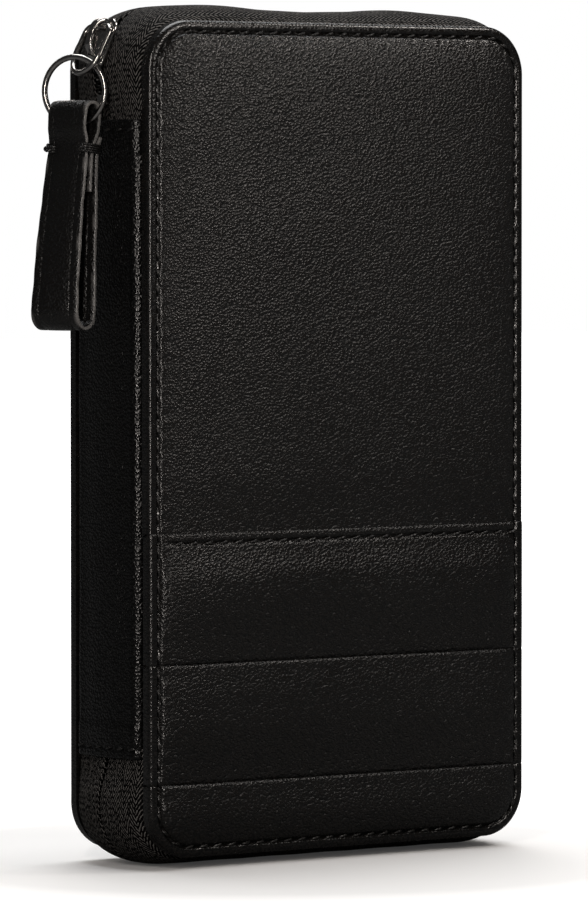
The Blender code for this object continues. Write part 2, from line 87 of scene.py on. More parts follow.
def writeSpots(piece, spots):
    piece.data.vertices.foreach_set("co", np.ascontiguousarray(spots, dtype=float).ravel())
    piece.data.update()


def stack(x, y, z):
    # from lengths about the middle of the case to places in the frame
    return np.stack([x + case["midX"], y + case["midY"], z + case["midZ"]], axis=1)


def gridPiece(name, across, along, place):
    bpy.ops.object.select_all(action="DESELECT")
    bpy.ops.mesh.primitive_grid_add(x_subdivisions=across, y_subdivisions=along, size=1)
    piece = bpy.context.object
    piece.name = name
    piece.data.name = name
    spots = readSpots(piece)
    i = np.round((spots[:, 0] + 0.5) * across).astype(int)
    j = np.round((spots[:, 1] + 0.5) * along).astype(int)
    writeSpots(piece, place(i, j))
    return piece


def stretchUv(piece, across, along):
    # turns the grid's 0..1 map into metres
    layer = piece.data.uv_layers[0].data
    flat = np.empty(len(layer) * 2)
    layer.foreach_get("uv", flat)
    flat = flat.reshape(-1, 2) * (across, along)
    layer.foreach_set("uv", flat.ravel())


def closeUp(piece, fill=True, reach=1e-7):
    takeUp(piece)
    bpy.ops.object.mode_set(mode="EDIT")
    bpy.ops.mesh.select_all(action="SELECT")
    bpy.ops.mesh.remove_doubles(threshold=reach)
    if fill:
        bpy.ops.mesh.select_all(action="SELECT")
        bpy.ops.mesh.fill_holes(sides=0)
    bpy.ops.mesh.select_all(action="SELECT")
    bpy.ops.mesh.normals_make_consistent(inside=False)
    bpy.ops.object.mode_set(mode="OBJECT")


def applied(piece, kind, **values):
    takeUp(piece)
    change = piece.modifiers.new(kind.title(), kind)
    for key, value in values.items():
        setattr(change, key, value)
    bpy.ops.object.modifier_apply(modifier=change.name)


def smoothOver(piece, degrees=40):
    takeUp(piece)
    bpy.ops.object.shade_smooth_by_angle(angle=math.radians(degrees))


def joinPieces(name, parts):
    bpy.ops.object.select_all(action="DESELECT")
    for part in parts:
        part.select_set(True)
    bpy.context.view_layer.objects.active = parts[0]
    if len(parts) > 1:
        bpy.ops.object.join()
    whole = bpy.context.view_layer.objects.active
    whole.name = name
    whole.data.name = name
    return whole


def placeMesh(piece):
    # moves the object's place, turn and size into its mesh
    takeUp(piece)
    bpy.ops.object.transform_apply(location=True, rotation=True, scale=True)


def turnFaces(piece):
    takeUp(piece)
    bpy.ops.object.mode_set(mode="EDIT")
    bpy.ops.mesh.select_all(action="SELECT")
    bpy.ops.mesh.flip_normals()
    bpy.ops.object.mode_set(mode="OBJECT")


def thicken(piece, thickness, degrees=50):
    # gives a sheet its thickness inwards, and shades its curves smooth
    applied(piece, "SOLIDIFY", thickness=thickness, offset=-1)
    smoothOver(piece, degrees)


def roomOf(node):
    # a frame node's corners and middle, and half its size each way
    low, high = (Vector(v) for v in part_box(node))
    return low, high, (low + high) / 2, [(high[k] - low[k]) / 2 for k in range(3)]


def settle(piece, body, finish, stands=()):
    piece.data.materials.clear()
    piece.data.materials.append(finish)
    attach(piece, body)
    if stands:
        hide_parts(*stands)


def markPressed(piece, share):
    # where the leather is pressed flat, from 0 to 1 at each vertex
    mark = piece.data.attributes.new("pressed", "FLOAT", "POINT")
    mark.data.foreach_set("value", np.ascontiguousarray(share, dtype=float))


def smoothStep(low, high, value):
    t = np.clip((value - low) / (high - low), 0, 1)
    return t * t * (3 - 2 * t)


def unit(rows):
    return rows / np.maximum(np.linalg.norm(rows, axis=1, keepdims=True), 1e-12)


def framesAlong(path, loop, first=None):
    # a direction of travel, and two across it that don't twist
    ahead = np.roll(path, -1, axis=0) - np.roll(path, 1, axis=0)
    if not loop:
        ahead[0] = path[1] - path[0]
        ahead[-1] = path[-1] - path[-2]
    ahead = unit(ahead)
    seed = np.array(first if first is not None else (0.3, 0.9, 0.1))
    sides = []
    for step in ahead:
        seed = seed - step * seed.dot(step)
        seed = seed / np.linalg.norm(seed)
        sides.append(seed)
    sides = np.array(sides)
    return sides, np.cross(ahead, sides)


def sweptPiece(name, path, sideways, upward, profile, loop=False, fill=True):
    # path, sideways and upward have a row for each station; profile is (corners, 2) or (stations, corners, 2)
    stations = len(path)
    if profile.ndim == 2:
        profile = np.repeat(profile[None], stations, axis=0)
    corners = profile.shape[1]
    along = stations if loop else stations - 1

    def place(i, j):
        a = profile[j % stations, i % corners, 0][:, None]
        b = profile[j % stations, i % corners, 1][:, None]
        return path[j % stations] + a * sideways[j % stations] + b * upward[j % stations]

    piece = gridPiece(name, corners, along, place)
    size = np.linalg.norm(np.diff(path, axis=0), axis=1).sum()
    girth = np.linalg.norm(np.roll(profile[0], -1, axis=0) - profile[0], axis=1).sum()
    stretchUv(piece, girth, size)
    closeUp(piece, fill=fill)
    return piece


def roundProfile(radius, sides):
    turn = np.arange(sides) * 2 * math.pi / sides
    return np.stack([radius * np.cos(turn), radius * np.sin(turn)], axis=1)


def softBarProfile(halfWide, halfThick, radius, steps=3):
    # a rectangle with rounded corners
    corners = []
    for cx, cy, start in ((1, 1, 0), (-1, 1, 90), (-1, -1, 180), (1, -1, 270)):
        for k in range(steps + 1):
            turn = math.radians(start + 90 * k / steps)
            corners.append((cx * (halfWide - radius) + radius * math.cos(turn),
                            cy * (halfThick - radius) + radius * math.sin(turn)))
    return np.array(corners)


def smoothPath(points, steps):
    # a rounded path through the points
    points = np.array(points, dtype=float)
    padded = np.vstack([2 * points[0] - points[1], points, 2 * points[-1] - points[-2]])
    made = []
    for k in range(len(points) - 1):
        p0, p1, p2, p3 = padded[k:k + 4]
        for n in range(steps):
            t = n / steps
            made.append(0.5 * (2 * p1 + (p2 - p0) * t + (2 * p0 - 5 * p1 + 4 * p2 - p3) * t ** 2
                               + (3 * p1 - p0 - 3 * p2 + p3) * t ** 3))
    made.append(points[-1])
    return np.array(made)


def evenPath(path, step):
    # the same path with even spacing
    gaps = np.linalg.norm(np.diff(path, axis=0), axis=1)
    walked = np.concatenate([[0], np.cumsum(gaps)])
    count = max(2, int(round(walked[-1] / step)))
    marks = np.linspace(0, walked[-1], count + 1)
    return np.stack([np.interp(marks, walked, path[:, k]) for k in range(path.shape[1])], axis=1)


# shader groups shared by the finishes
def newGroup(name, inputs, outputs):
    group = bpy.data.node_groups.new(name, "ShaderNodeTree")
    for label, value in inputs:
        socket = group.interface.new_socket(label, in_out="INPUT", socket_type="NodeSocketFloat")
        socket.default_value = value
    for label in outputs:
        group.interface.new_socket(label, in_out="OUTPUT", socket_type="NodeSocketFloat")
    return group


def addNode(tree, kind, **values):
    node = tree.nodes.new(kind)
    for key, value in values.items():
        setattr(node, key, value)
    return node


def wire(tree, start, end):
    tree.links.new(start, end)


def sums(tree, operation, *terms):
    # a Math node fed with sockets or plain numbers
    node = addNode(tree, "ShaderNodeMath", operation=operation)
    for slot, term in zip(node.inputs, terms):
        if isinstance(term, (int, float)):
            slot.default_value = term
        else:
            wire(tree, term, slot)
    return node.outputs[0]


def noiseAt(tree, place, scale, detail):
    # noise in the piece's own coordinates, its scale a number or a socket
    noise = addNode(tree, "ShaderNodeTexNoise", noise_dimensions="3D")
    noise.inputs["Detail"].default_value = detail
    wire(tree, place.outputs["Object"], noise.inputs["Vector"])
    if isinstance(scale, (int, float)):
        noise.inputs["Scale"].default_value = scale
    else:
        wire(tree, scale, noise.inputs["Scale"])
    return noise


grainLook = {
    "slant": math.radians(38),
    "stretch": (0.8, 1, 1.12),
    "warpScale": 260,
    "warpReach": 0.6 * mm,
    "softness": 0.25,
    "fineRatio": 1.7,
    "capFall": -2.6,
}


def leatherGrainGroup():
    # rounded pebbles a little longer on a slant, with slow changes in how deep they are
    inputs = (("Pebbles", 1000.0), ("Creases", 0.2), ("Slow", 18.0))
    group = newGroup("leatherGrain", inputs, ("Height", "Tops", "Clouds"))
    start = addNode(group, "NodeGroupInput")
    end = addNode(group, "NodeGroupOutput")
    place = addNode(group, "ShaderNodeTexCoord")
    slanted = addNode(group, "ShaderNodeMapping")
    slanted.inputs["Rotation"].default_value = (0, grainLook["slant"], 0)
    slanted.inputs["Scale"].default_value = grainLook["stretch"]
    wire(group, place.outputs["Object"], slanted.inputs["Vector"])
    warp = noiseAt(group, place, grainLook["warpScale"], 1)
    shift = addNode(group, "ShaderNodeVectorMath", operation="MULTIPLY_ADD")
    shift.inputs[1].default_value = (grainLook["warpReach"],) * 3
    wire(group, warp.outputs["Color"], shift.inputs[0])
    wire(group, slanted.outputs[0], shift.inputs[2])
    pebbles = addNode(group, "ShaderNodeTexVoronoi", feature="SMOOTH_F1")
    pebbles.inputs["Smoothness"].default_value = grainLook["softness"]
    wire(group, shift.outputs[0], pebbles.inputs["Vector"])
    wire(group, start.outputs["Pebbles"], pebbles.inputs["Scale"])
    fineScale = sums(group, "MULTIPLY", start.outputs["Pebbles"], grainLook["fineRatio"])
    fine = noiseAt(group, place, fineScale, 2)
    slow = noiseAt(group, place, start.outputs["Slow"], 3)
    away = sums(group, "POWER", pebbles.outputs["Distance"], 2.0)
    caps = sums(group, "MULTIPLY_ADD", away, grainLook["capFall"], 1.0)
    rough = sums(group, "MULTIPLY", fine.outputs[0], start.outputs["Creases"])
    whole = sums(group, "ADD", caps, rough)
    depth = sums(group, "MULTIPLY_ADD", slow.outputs[0], 1.2, 0.4)
    wire(group, sums(group, "MULTIPLY", whole, depth), end.inputs["Height"])
    tops = addNode(group, "ShaderNodeMapRange")
    tops.inputs["From Min"].default_value = 0.25
    tops.inputs["From Max"].default_value = 1.0
    wire(group, whole, tops.inputs["Value"])
    wire(group, tops.outputs[0], end.inputs["Tops"])
    wire(group, slow.outputs[0], end.inputs["Clouds"])
    return group


weaveLook = {
    "slant": 1.6,
    "cross": 0.35,
    "fuzz": 3.2,
    "fuzzScale": 1100,
    "shareFrom": 1.95,
    "shareTo": 2.5,
}


def wovenGroup():
    # a herringbone of fine yarns, from a map in metres
    group = newGroup("wovenYarns", (("Yarn", 1500.0), ("Ribs", 260.0)), ("Height", "Fleck"))
    start = addNode(group, "NodeGroupInput")
    end = addNode(group, "NodeGroupOutput")
    place = addNode(group, "ShaderNodeUVMap")
    parts = addNode(group, "ShaderNodeSeparateXYZ")
    wire(group, place.outputs["UV"], parts.inputs[0])
    ribs = sums(group, "MULTIPLY", parts.outputs[0], start.outputs["Ribs"])
    slant = sums(group, "MULTIPLY", sums(group, "PINGPONG", ribs, 1.0), weaveLook["slant"])
    alongYarn = sums(group, "MULTIPLY", parts.outputs[1], start.outputs["Yarn"])
    acrossYarn = sums(group, "MULTIPLY", parts.outputs[0], start.outputs["Yarn"])
    rise = sums(group, "ADD", alongYarn, sums(group, "MULTIPLY", slant, 3.1416))
    yarns = sums(group, "SINE", sums(group, "MULTIPLY", rise, 3.1416))
    cross = sums(group, "SINE", sums(group, "MULTIPLY", acrossYarn, 6.2832))
    fuzz = noiseAt(group, addNode(group, "ShaderNodeTexCoord"), weaveLook["fuzzScale"], 2)
    body = sums(group, "MULTIPLY_ADD", cross, weaveLook["cross"], yarns)
    height = sums(group, "MULTIPLY_ADD", fuzz.outputs[0], weaveLook["fuzz"], body)
    wire(group, height, end.inputs["Height"])
    wire(group, fuzz.outputs[0], end.inputs["Fleck"])
    return group


grainGroup = leatherGrainGroup()
yarnGroup = wovenGroup()


def newFinish(name, colour, roughness, metallic=0.0):
    finish = bpy.data.materials.new(name)
    finish.use_nodes = True
    tree = finish.node_tree
    shader = tree.nodes["Principled BSDF"]
    shader.inputs["Base Color"].default_value = (*colour, 1)
    shader.inputs["Roughness"].default_value = roughness
    shader.inputs["Metallic"].default_value = metallic
    return finish, tree, shader


def addGroup(tree, group, **values):
    node = addNode(tree, "ShaderNodeGroup", node_tree=group)
    for key, value in values.items():
        node.inputs[key].default_value = value
    return node


def addBump(tree, shader, height, depth, strength):
    bump = addNode(tree, "ShaderNodeBump")
    bump.inputs["Strength"].default_value = strength
    bump.inputs["Distance"].default_value = depth
    wire(tree, height, bump.inputs["Height"])
    wire(tree, bump.outputs["Normal"], shader.inputs["Normal"])


def mixColours(tree, share, low, high):
    mix = addNode(tree, "ShaderNodeMix", data_type="RGBA")
    mix.inputs[6].default_value = (*low, 1)
    mix.inputs[7].default_value = (*high, 1)
    wire(tree, share, mix.inputs[0])
    return mix.outputs[2]


def rangeOf(tree, value, low, high, outLow, outHigh):
    node = addNode(tree, "ShaderNodeMapRange")
    for key, number in (("From Min", low), ("From Max", high), ("To Min", outLow), ("To Max", outHigh)):
        node.inputs[key].default_value = number
    wire(tree, value, node.inputs["Value"])
    return node.outputs[0]


leather = {
    # shadedValley is painted shade: the near-black colour given to the grain's hollows
    "shadedValley": (0.0003, 0.0003, 0.0003),
    "top": (0.0085, 0.0072, 0.0064),
    "pebbles": 1450.0,
    "creases": 0.35,
    "depth": 0.105 * mm,
    "strength": 1.0,
    "roughLow": 0.2,
    "roughHigh": 0.45,
    "specular": 0.5,
    "cloudy": 0.16,          # how much the slow changes roughen it
    "pressedGloss": 0.12,    # how much smoother it is where pressed
    "pressedFlat": 0.75,
}


def leatherFinish(name, settings, edge=None):
    finish, tree, shader = newFinish(name, settings["top"], 0.45)
    shader.inputs["Specular IOR Level"].default_value = settings["specular"]
    grain = addGroup(tree, grainGroup, Pebbles=settings["pebbles"], Creases=settings["creases"])
    # the grain's hollows are coloured far darker than its tops: painted shade in the hollows
    colour = mixColours(tree, grain.outputs["Tops"], settings["shadedValley"], settings["top"])
    if edge:
        cut = addNode(tree, "ShaderNodeAttribute", attribute_name="cutEdge")
        blend = addNode(tree, "ShaderNodeMix", data_type="RGBA")
        blend.inputs[7].default_value = (*edge, 1)
        wire(tree, cut.outputs["Fac"], blend.inputs[0])
        wire(tree, colour, blend.inputs[6])
        colour = blend.outputs[2]
    wire(tree, colour, shader.inputs["Base Color"])
    # tops are worn glossier than the valleys; leather pressed at a seam is smoother still
    pressed = addNode(tree, "ShaderNodeAttribute", attribute_name="pressed")
    gloss = rangeOf(tree, grain.outputs["Tops"], 0.1, 0.9, settings["roughHigh"], settings["roughLow"])
    cloudy = sums(tree, "MULTIPLY_ADD", grain.outputs["Clouds"], settings["cloudy"], gloss)
    smoother = sums(tree, "SUBTRACT", cloudy, settings["cloudy"] / 2)
    pressedGloss = sums(tree, "MULTIPLY_ADD", pressed.outputs["Fac"], -settings["pressedGloss"], smoother)
    wire(tree, pressedGloss, shader.inputs["Roughness"])
    kept = sums(tree, "MULTIPLY_ADD", pressed.outputs["Fac"], -settings["pressedFlat"], 1.0)
    height = sums(tree, "MULTIPLY", grain.outputs["Height"], kept)
    addBump(tree, shader, height, settings["depth"], settings["strength"])
    return finish


coverLeather = leatherFinish("coverLeather", leather)
# the spine wall gets the cover leather with a colour about three times darker: painted shade for the wall that
# turns away from the lights
shadedSpineLook = dict(leather, top=(0.0028, 0.0025, 0.0023), pebbles=1200.0, depth=0.17 * mm,
                 roughHigh=0.4, specular=0.28)
strapLook = dict(leather, top=(0.006, 0.0052, 0.0047), pebbles=1500.0, depth=0.06 * mm)
shadedSpineLeather = leatherFinish("shadedSpineLeather", shadedSpineLook)
strapLeather = leatherFinish("strapLeather", strapLook, edge=(0.17, 0.165, 0.16))
pocketLeather = leatherFinish("pocketLeather", dict(leather, pebbles=1500.0, depth=0.05 * mm, roughLow=0.42))


def wovenFinish(name, low, high, yarn, ribs, depth, strength):
    finish, tree, shader = newFinish(name, high, 0.8)
    weave = addGroup(tree, yarnGroup, Yarn=yarn, Ribs=ribs)
    # the weave's low places take the low colour and only its highest yarns the high one: painted shade in the
    # hollows between the yarns
    share = rangeOf(tree, weave.outputs["Height"], weaveLook["shareFrom"], weaveLook["shareTo"], 0.0, 1.0)
    wire(tree, mixColours(tree, share, low, high), shader.inputs["Base Color"])
    wire(tree, rangeOf(tree, weave.outputs["Fleck"], 0.3, 0.7, 0.62, 0.9), shader.inputs["Roughness"])
    shader.inputs["Specular IOR Level"].default_value = 0.08
    addBump(tree, shader, weave.outputs["Height"], depth, strength)
    return finish


# low is painted shade for the hollows between the yarns
tapeLook = {"low": (0.0003,) * 3, "high": (0.13, 0.124, 0.119), "yarn": 1350.0, "ribs": 520.0,
            "depth": 0.14 * mm, "strength": 0.9}
liningLook = {"low": (0.014, 0.014, 0.016), "high": (0.05, 0.05, 0.056), "yarn": 1400.0, "ribs": 700.0,
              "depth": 0.06 * mm, "strength": 0.5}
tapeCloth = wovenFinish("tapeCloth", **tapeLook)
liningCloth = wovenFinish("liningCloth", **liningLook)


def threadFinish():
    finish, tree, shader = newFinish("waxedThread", (0.012, 0.0115, 0.011), 0.36)
    twist = addNode(tree, "ShaderNodeTexWave", wave_type="BANDS", bands_direction="DIAGONAL")
    twist.inputs["Scale"].default_value = 700
    place = addNode(tree, "ShaderNodeTexCoord")
    wire(tree, place.outputs["Object"], twist.inputs["Vector"])
    # darker in the twist's grooves than on its ridges: painted shade
    colour = mixColours(tree, twist.outputs["Fac"], (0.002, 0.002, 0.002), (0.016, 0.015, 0.0142))
    wire(tree, colour, shader.inputs["Base Color"])
    addBump(tree, shader, twist.outputs["Fac"], 0.08 * mm, 0.6)
    return finish


def metalFinish():
    # dark polished plating with faint wear and handling marks
    finish, tree, shader = newFinish("gunmetalPlate", (0.30, 0.29, 0.28), 0.2, 1.0)
    marks = noiseAt(tree, addNode(tree, "ShaderNodeTexCoord"), 900, 4)
    wire(tree, rangeOf(tree, marks.outputs[0], 0.35, 0.7, 0.13, 0.24), shader.inputs["Roughness"])
    share = rangeOf(tree, marks.outputs[0], 0.3, 0.75, 0.0, 1.0)
    wire(tree, mixColours(tree, share, (0.34, 0.325, 0.315), (0.46, 0.45, 0.435)), shader.inputs["Base Color"])
    addBump(tree, shader, marks.outputs[0], 0.008 * mm, 0.1)
    return finish


def plainFinish(name, low, high, roughness, scale):
    finish, tree, shader = newFinish(name, high, roughness)
    speck = noiseAt(tree, addNode(tree, "ShaderNodeTexCoord"), scale, 5)
    wire(tree, mixColours(tree, speck.outputs[0], low, high), shader.inputs["Base Color"])
    addBump(tree, shader, speck.outputs[0], 0.1 * mm, 0.4)
    return finish


waxedThread = threadFinish()
gunmetalPlate = metalFinish()
greyBoard = plainFinish("greyBoard", (0.28, 0.23, 0.17), (0.45, 0.38, 0.29), 0.85, 1200)
padFoam = plainFinish("padFoam", (0.05, 0.05, 0.05), (0.14, 0.14, 0.14), 0.95, 2500)
coilNylon = plainFinish("coilNylon", (0.008, 0.008, 0.008), (0.02, 0.02, 0.02), 0.35, 600)
print("finishes ready")


# the outline of the case
def edgeDistance(x, z):
    # how far inside the rounded outline a place is
    qx = np.abs(x) - flatX
    qz = np.abs(z) - flatZ
    outside = np.hypot(np.maximum(qx, 0), np.maximum(qz, 0))
    return case["corner"] - outside - np.minimum(np.maximum(qx, qz), 0)


def outlineLength(inset):
    return 4 * flatX + 4 * flatZ + 2 * math.pi * (case["corner"] - inset)


def aroundCase(walked, inset=0.0):
    # x, z and outward direction, walking up the left wall, over the top and round
    radius = case["corner"] - inset
    bend = radius * math.pi / 2
    lengths = (flatZ, bend, 2 * flatX, bend, 2 * flatZ, bend, 2 * flatX, bend, flatZ)
    starts = ((-flatX - radius, 0), None, (-flatX, flatZ + radius), None, (flatX + radius, flatZ), None,
              (flatX, -flatZ - radius), None, (-flatX - radius, -flatZ))
    centres = ((-flatX, flatZ), (flatX, flatZ), (flatX, -flatZ), (-flatX, -flatZ))
    walked = np.asarray(walked, dtype=float) % outlineLength(inset)
    x = np.zeros_like(walked)
    z = np.zeros_like(walked)
    turn = np.zeros_like(walked)
    done = 0.0
    for k, length in enumerate(lengths):
        here = (walked >= done - 1e-12) & (walked <= done + length + 1e-12)
        local = walked[here] - done
        if k % 2 == 0:
            angle = math.pi - (k // 2) * math.pi / 2
            x[here] = starts[k][0] + local * math.sin(angle)
            z[here] = starts[k][1] - local * math.cos(angle)
            turn[here] = angle
        else:
            angle = math.pi - (k // 2) * math.pi / 2 - local / radius
            cx, cz = centres[k // 2]
            x[here] = cx + radius * np.cos(angle)
            z[here] = cz + radius * np.sin(angle)
            turn[here] = angle
        done += length
    return x, z, turn


def walkedAt(x, z, inset):
    # the other way round: how far along the walk a place beside the outline is
    radius = case["corner"] - inset
    bend = radius * math.pi / 2
    right = x > 0
    high = z > 0
    corner = (np.abs(x) > flatX) & (np.abs(z) > flatZ)
    side = ~corner & ((np.abs(x) - flatX) >= (np.abs(z) - flatZ))
    turn = np.arctan2(np.abs(z) - flatZ, np.abs(x) - flatX)     # 0 at the side wall
    onEnd = np.where(corner, flatZ + radius * turn, flatZ + bend + flatX - np.abs(x))
    quarter = np.where(side, np.abs(z), onEnd)
    half = 2 * flatZ + 2 * bend + 2 * flatX
    upper = np.where(right, half - quarter, quarter)
    return np.where(high, upper, outlineLength(inset) - upper)


sewing = {
    "edgeIn": 3.0 * mm,
    "pitch": 4.6 * mm,
    "thread": 0.40 * mm,
    "long": 3.0 * mm,
    "slant": math.radians(14),
}
perimeterStitches = int(round(outlineLength(sewing["edgeIn"]) / sewing["pitch"]))
perimeterPitch = outlineLength(sewing["edgeIn"]) / perimeterStitches


# covers: padded panels with a turned, stitched edge
cover = {
    "across": 160,
    "along": 280,
    "edgeRound": 1.4 * mm,
    "edgeSteps": 7,
    "flange": 0.12 * mm,
    "groove": 1.0 * mm,
    "grooveWide": 0.5 * mm,
    "puff": 1.5 * mm,
    "puffReach": 4.2 * mm,
    "dome": 0.7 * mm,
    "pucker": 0.16 * mm,
    "underBands": 1.3 * mm,
    "tuck": 0.6 * mm,
    "wave": 0.16 * mm,
    "raised": 0.28 * mm,      # where a band lies over the flange
}


def insetLadder(half, fineTo=6.0 * mm, fineSteps=18, coarseSteps=56):
    radius = cover["edgeRound"]
    turns = np.linspace(0, math.pi / 2, cover["edgeSteps"])
    first = radius * (1 - np.cos(turns))
    second = np.linspace(radius, fineTo, fineSteps + 1)[1:]
    third = np.linspace(fineTo, half, coarseSteps + 1)[1:]
    return np.concatenate([first, second, third])


def edgeRelief(e, x, z):
    # the rolled edge, the flange outside the stitches and the pinch along them
    radius = cover["edgeRound"]
    inner = np.clip(radius - e, 0, radius)
    rolled = -(radius - np.sqrt(np.maximum(radius ** 2 - inner ** 2, 0)))
    phase = walkedAt(x, z, sewing["edgeIn"]) / perimeterPitch * 2 * math.pi
    pull = 0.6 + 0.4 * (0.5 + 0.5 * np.cos(phase))
    groove = -cover["groove"] * np.exp(-((e - sewing["edgeIn"]) / cover["grooveWide"]) ** 2) * pull
    ruck = -cover["pucker"] * np.cos(phase) * np.exp(-((e - 4.6 * mm) / (1.4 * mm)) ** 2)
    return rolled + cover["flange"] + groove - ruck


def insidePuff(e, reach):
    return 1 - np.exp(-np.maximum(e - sewing["edgeIn"] - 0.1 * mm, 0) / reach)


def slowWaves(x, z, seed):
    # gentle unevenness of a hand-padded panel
    rng = np.random.default_rng(seed)
    total = np.zeros_like(x)
    for wave in range(7):
        angle = rng.uniform(0, math.pi)
        size = rng.uniform(28, 75) * mm
        offset = rng.uniform(0, 2 * math.pi)
        total += np.sin((x * math.cos(angle) + z * math.sin(angle)) * 2 * math.pi / size + offset)
    return total / 7


bands = {
    "tops": (85.5 * mm, 51.0 * mm, 19.5 * mm),      # above the covers' lower edge
    "lap": 4.0 * mm,
    "roll": 0.9 * mm,
    "hemStitch": 2.6 * mm,
    "leather": 0.6 * mm,
    "edges": (1.1 * mm, 1.9 * mm, 1.9 * mm),        # how proud each band's top edge stands
    "crowns": (1.7 * mm, 0.5 * mm, 0.5 * mm),
    "falls": (0, 1.7 * mm, 0.5 * mm),
    "pinch": 3.0 * mm,
    "wave": 0.14 * mm,
}
lowEdge = -case["halfHeight"]
bandTop = lowEdge + bands["tops"][0]


def domeAcross(x):
    return cover["dome"] * np.cos(np.clip(x / case["halfWidth"], -1, 1) * math.pi / 2)


def frontRelief(e, x, z):
    above = z - bandTop
    puff = insidePuff(e, cover["puffReach"])
    pinch = 0.45 + 0.55 * smoothStep(0, 16 * mm, above)
    dome = domeAcross(x) * smoothStep(0, 45 * mm, above)
    edge = edgeRelief(e, x, z)
    upper = edge + puff * (cover["puff"] * pinch + dome + cover["wave"] * slowWaves(x, z, 3))
    return np.where(above > -1.0 * mm, upper, -cover["underBands"] + np.minimum(edge, 0) * 0.3)


def backRelief(e, x, z):
    dome = domeAcross(x) * np.cos(np.clip(z / case["halfHeight"], -1, 1) * math.pi / 2)
    waves = cover["wave"] * slowWaves(x, z, 8)
    return edgeRelief(e, x, z) + insidePuff(e, cover["puffReach"]) * (cover["puff"] * 0.8 + dome + waves)


def alongSide(t, reach, out, radius):
    # evenly along one side of a rounded rectangle, from the middle of one corner to the next
    bend = math.pi / 4 * radius
    flat = 2 * (reach - radius)
    s = t * (flat + 2 * bend)
    safe = np.maximum(radius, 1e-9)
    angle = np.where(s < bend, (s - bend) / safe, np.where(s > bend + flat, (s - bend - flat) / safe, 0))
    straight = -(reach - radius) + np.clip(s - bend, 0, flat)
    return straight + radius * np.sin(angle), out - radius + radius * np.cos(angle)


def ringsIn(i, j, across, along):
    # how many rows each point of a grid is from its edge
    return np.minimum(np.minimum(i, across - i), np.minimum(j, along - j))


def nestedSpots(i, j, across, along, reachX, reachZ, radius):
    # x and z on nested rounded rectangles, one for each ring of the grid
    ring = ringsIn(i, j, across, along)
    onSide = (i == ring) | (i == across - ring)
    tz = (j - ring) / np.maximum(along - 2 * ring, 1)
    tx = (i - ring) / np.maximum(across - 2 * ring, 1)
    sideZ, sideX = alongSide(tz, reachZ, reachX, radius)
    endX, endZ = alongSide(tx, reachX, reachZ, radius)
    x = np.where(onSide, np.where(i == ring, -sideX, sideX), endX)
    z = np.where(onSide, sideZ, np.where(j == ring, -endZ, endZ))
    return np.where(onSide & (across == 2 * ring), 0, x), z


def coverPiece(name, side, relief):
    across, along = cover["across"], cover["along"]
    ladder = insetLadder(case["halfWidth"])

    def place(i, j):
        inset = ladder[ringsIn(i, j, across, along)]
        slack = np.maximum(7 * mm - 0.3 * (inset - 6 * mm), 0)
        radius = np.where(inset < 6 * mm, case["corner"] - inset, slack)
        x, z = nestedSpots(i, j, across, along, case["halfWidth"] - inset, case["halfHeight"] - inset, radius)
        out = relief(inset, x, z)
        if side < 0:
            tuck = np.where(z < bandTop - 1.0 * mm, 1.0, 0.0)       # drawn in under the bands
            x = x * (1 - cover["tuck"] / case["halfWidth"] * tuck)
            z = z + cover["tuck"] * tuck * smoothStep(-flatZ, lowEdge, z)
            return stack(x, -(case["halfDepth"] + out), z)
        return stack(-x, case["halfDepth"] + out, z)

    piece = gridPiece(name, across, along, place)
    takeUp(piece)
    bpy.ops.object.mode_set(mode="EDIT")
    bpy.ops.mesh.select_mode(type="EDGE")
    bpy.ops.mesh.select_all(action="SELECT")
    bpy.ops.mesh.region_to_loop()
    depth = case["halfDepth"] - case["innerDepth"] - cover["edgeRound"]
    for share in (0.4, 0.35, 0.25):
        bpy.ops.mesh.extrude_region_move(TRANSFORM_OT_translate={"value": (0, -side * share * depth, 0)})
    # the leather turned in behind the board
    pivot = tuple(caseMid + Vector((0, side * case["innerDepth"], 0)))
    for scale, lift in (((0.985, 1, 0.991), -0.25), ((0.955, 1, 0.974), -0.05)):
        bpy.ops.mesh.extrude_region_move(TRANSFORM_OT_translate={"value": (0, side * lift * mm, 0)})
        bpy.ops.transform.resize(value=scale, center_override=pivot)
    bpy.ops.mesh.extrude_region_move(TRANSFORM_OT_translate={"value": (0, side * 0.6 * mm, 0)})
    bpy.ops.mesh.edge_face_add()
    bpy.ops.object.mode_set(mode="OBJECT")
    closeUp(piece, fill=False)
    smoothOver(piece, 50)
    return piece


def pressedFlange(piece):
    spots = readSpots(piece)
    e = edgeDistance(spots[:, 0] - case["midX"], spots[:, 2] - case["midZ"])
    markPressed(piece, 1 - smoothStep(2.6 * mm, 5.5 * mm, e))


frontCover = coverPiece("frontCoverPanel", -1, frontRelief)
backCover = coverPiece("backCoverPanel", 1, backRelief)
for panel, half in ((frontCover, "front"), (backCover, "back")):
    pressedFlange(panel)
    settle(panel, half + "_half", coverLeather, [half + "_cover_leather"])
print("covers sewn")


# the three shingled bands
def bandRelief(k, below, tall):
    # how proud a band stands inside the stitches, against the distance below its top edge
    drop = smoothStep(0.45 * tall, 1.02 * tall, below)
    if k == 0:
        crown = bands["crowns"][k] * smoothStep(2.2 * mm, 13 * mm, below)
        seam = -0.8 * mm * np.exp(-((below - bands["hemStitch"]) / (0.5 * mm)) ** 2)
        return bands["edges"][k] + crown * (1 - 0.95 * drop) + seam - 0.4 * mm * drop
    crown = bands["crowns"][k] * smoothStep(0, 9 * mm, below)
    return bands["edges"][k] + crown - bands["falls"][k] * drop


def bandStand(k, e, x, z, below, tall):
    # how far a band's face stands out from the cover's plane
    inside = insidePuff(e, bands["pinch"])
    proud = bandRelief(k, below, tall) + bands["wave"] * slowWaves(x * 1.4, z * 1.4, 20 + k)
    return edgeRelief(e, x, z) + inside * proud + (1 - inside) * cover["raised"], inside


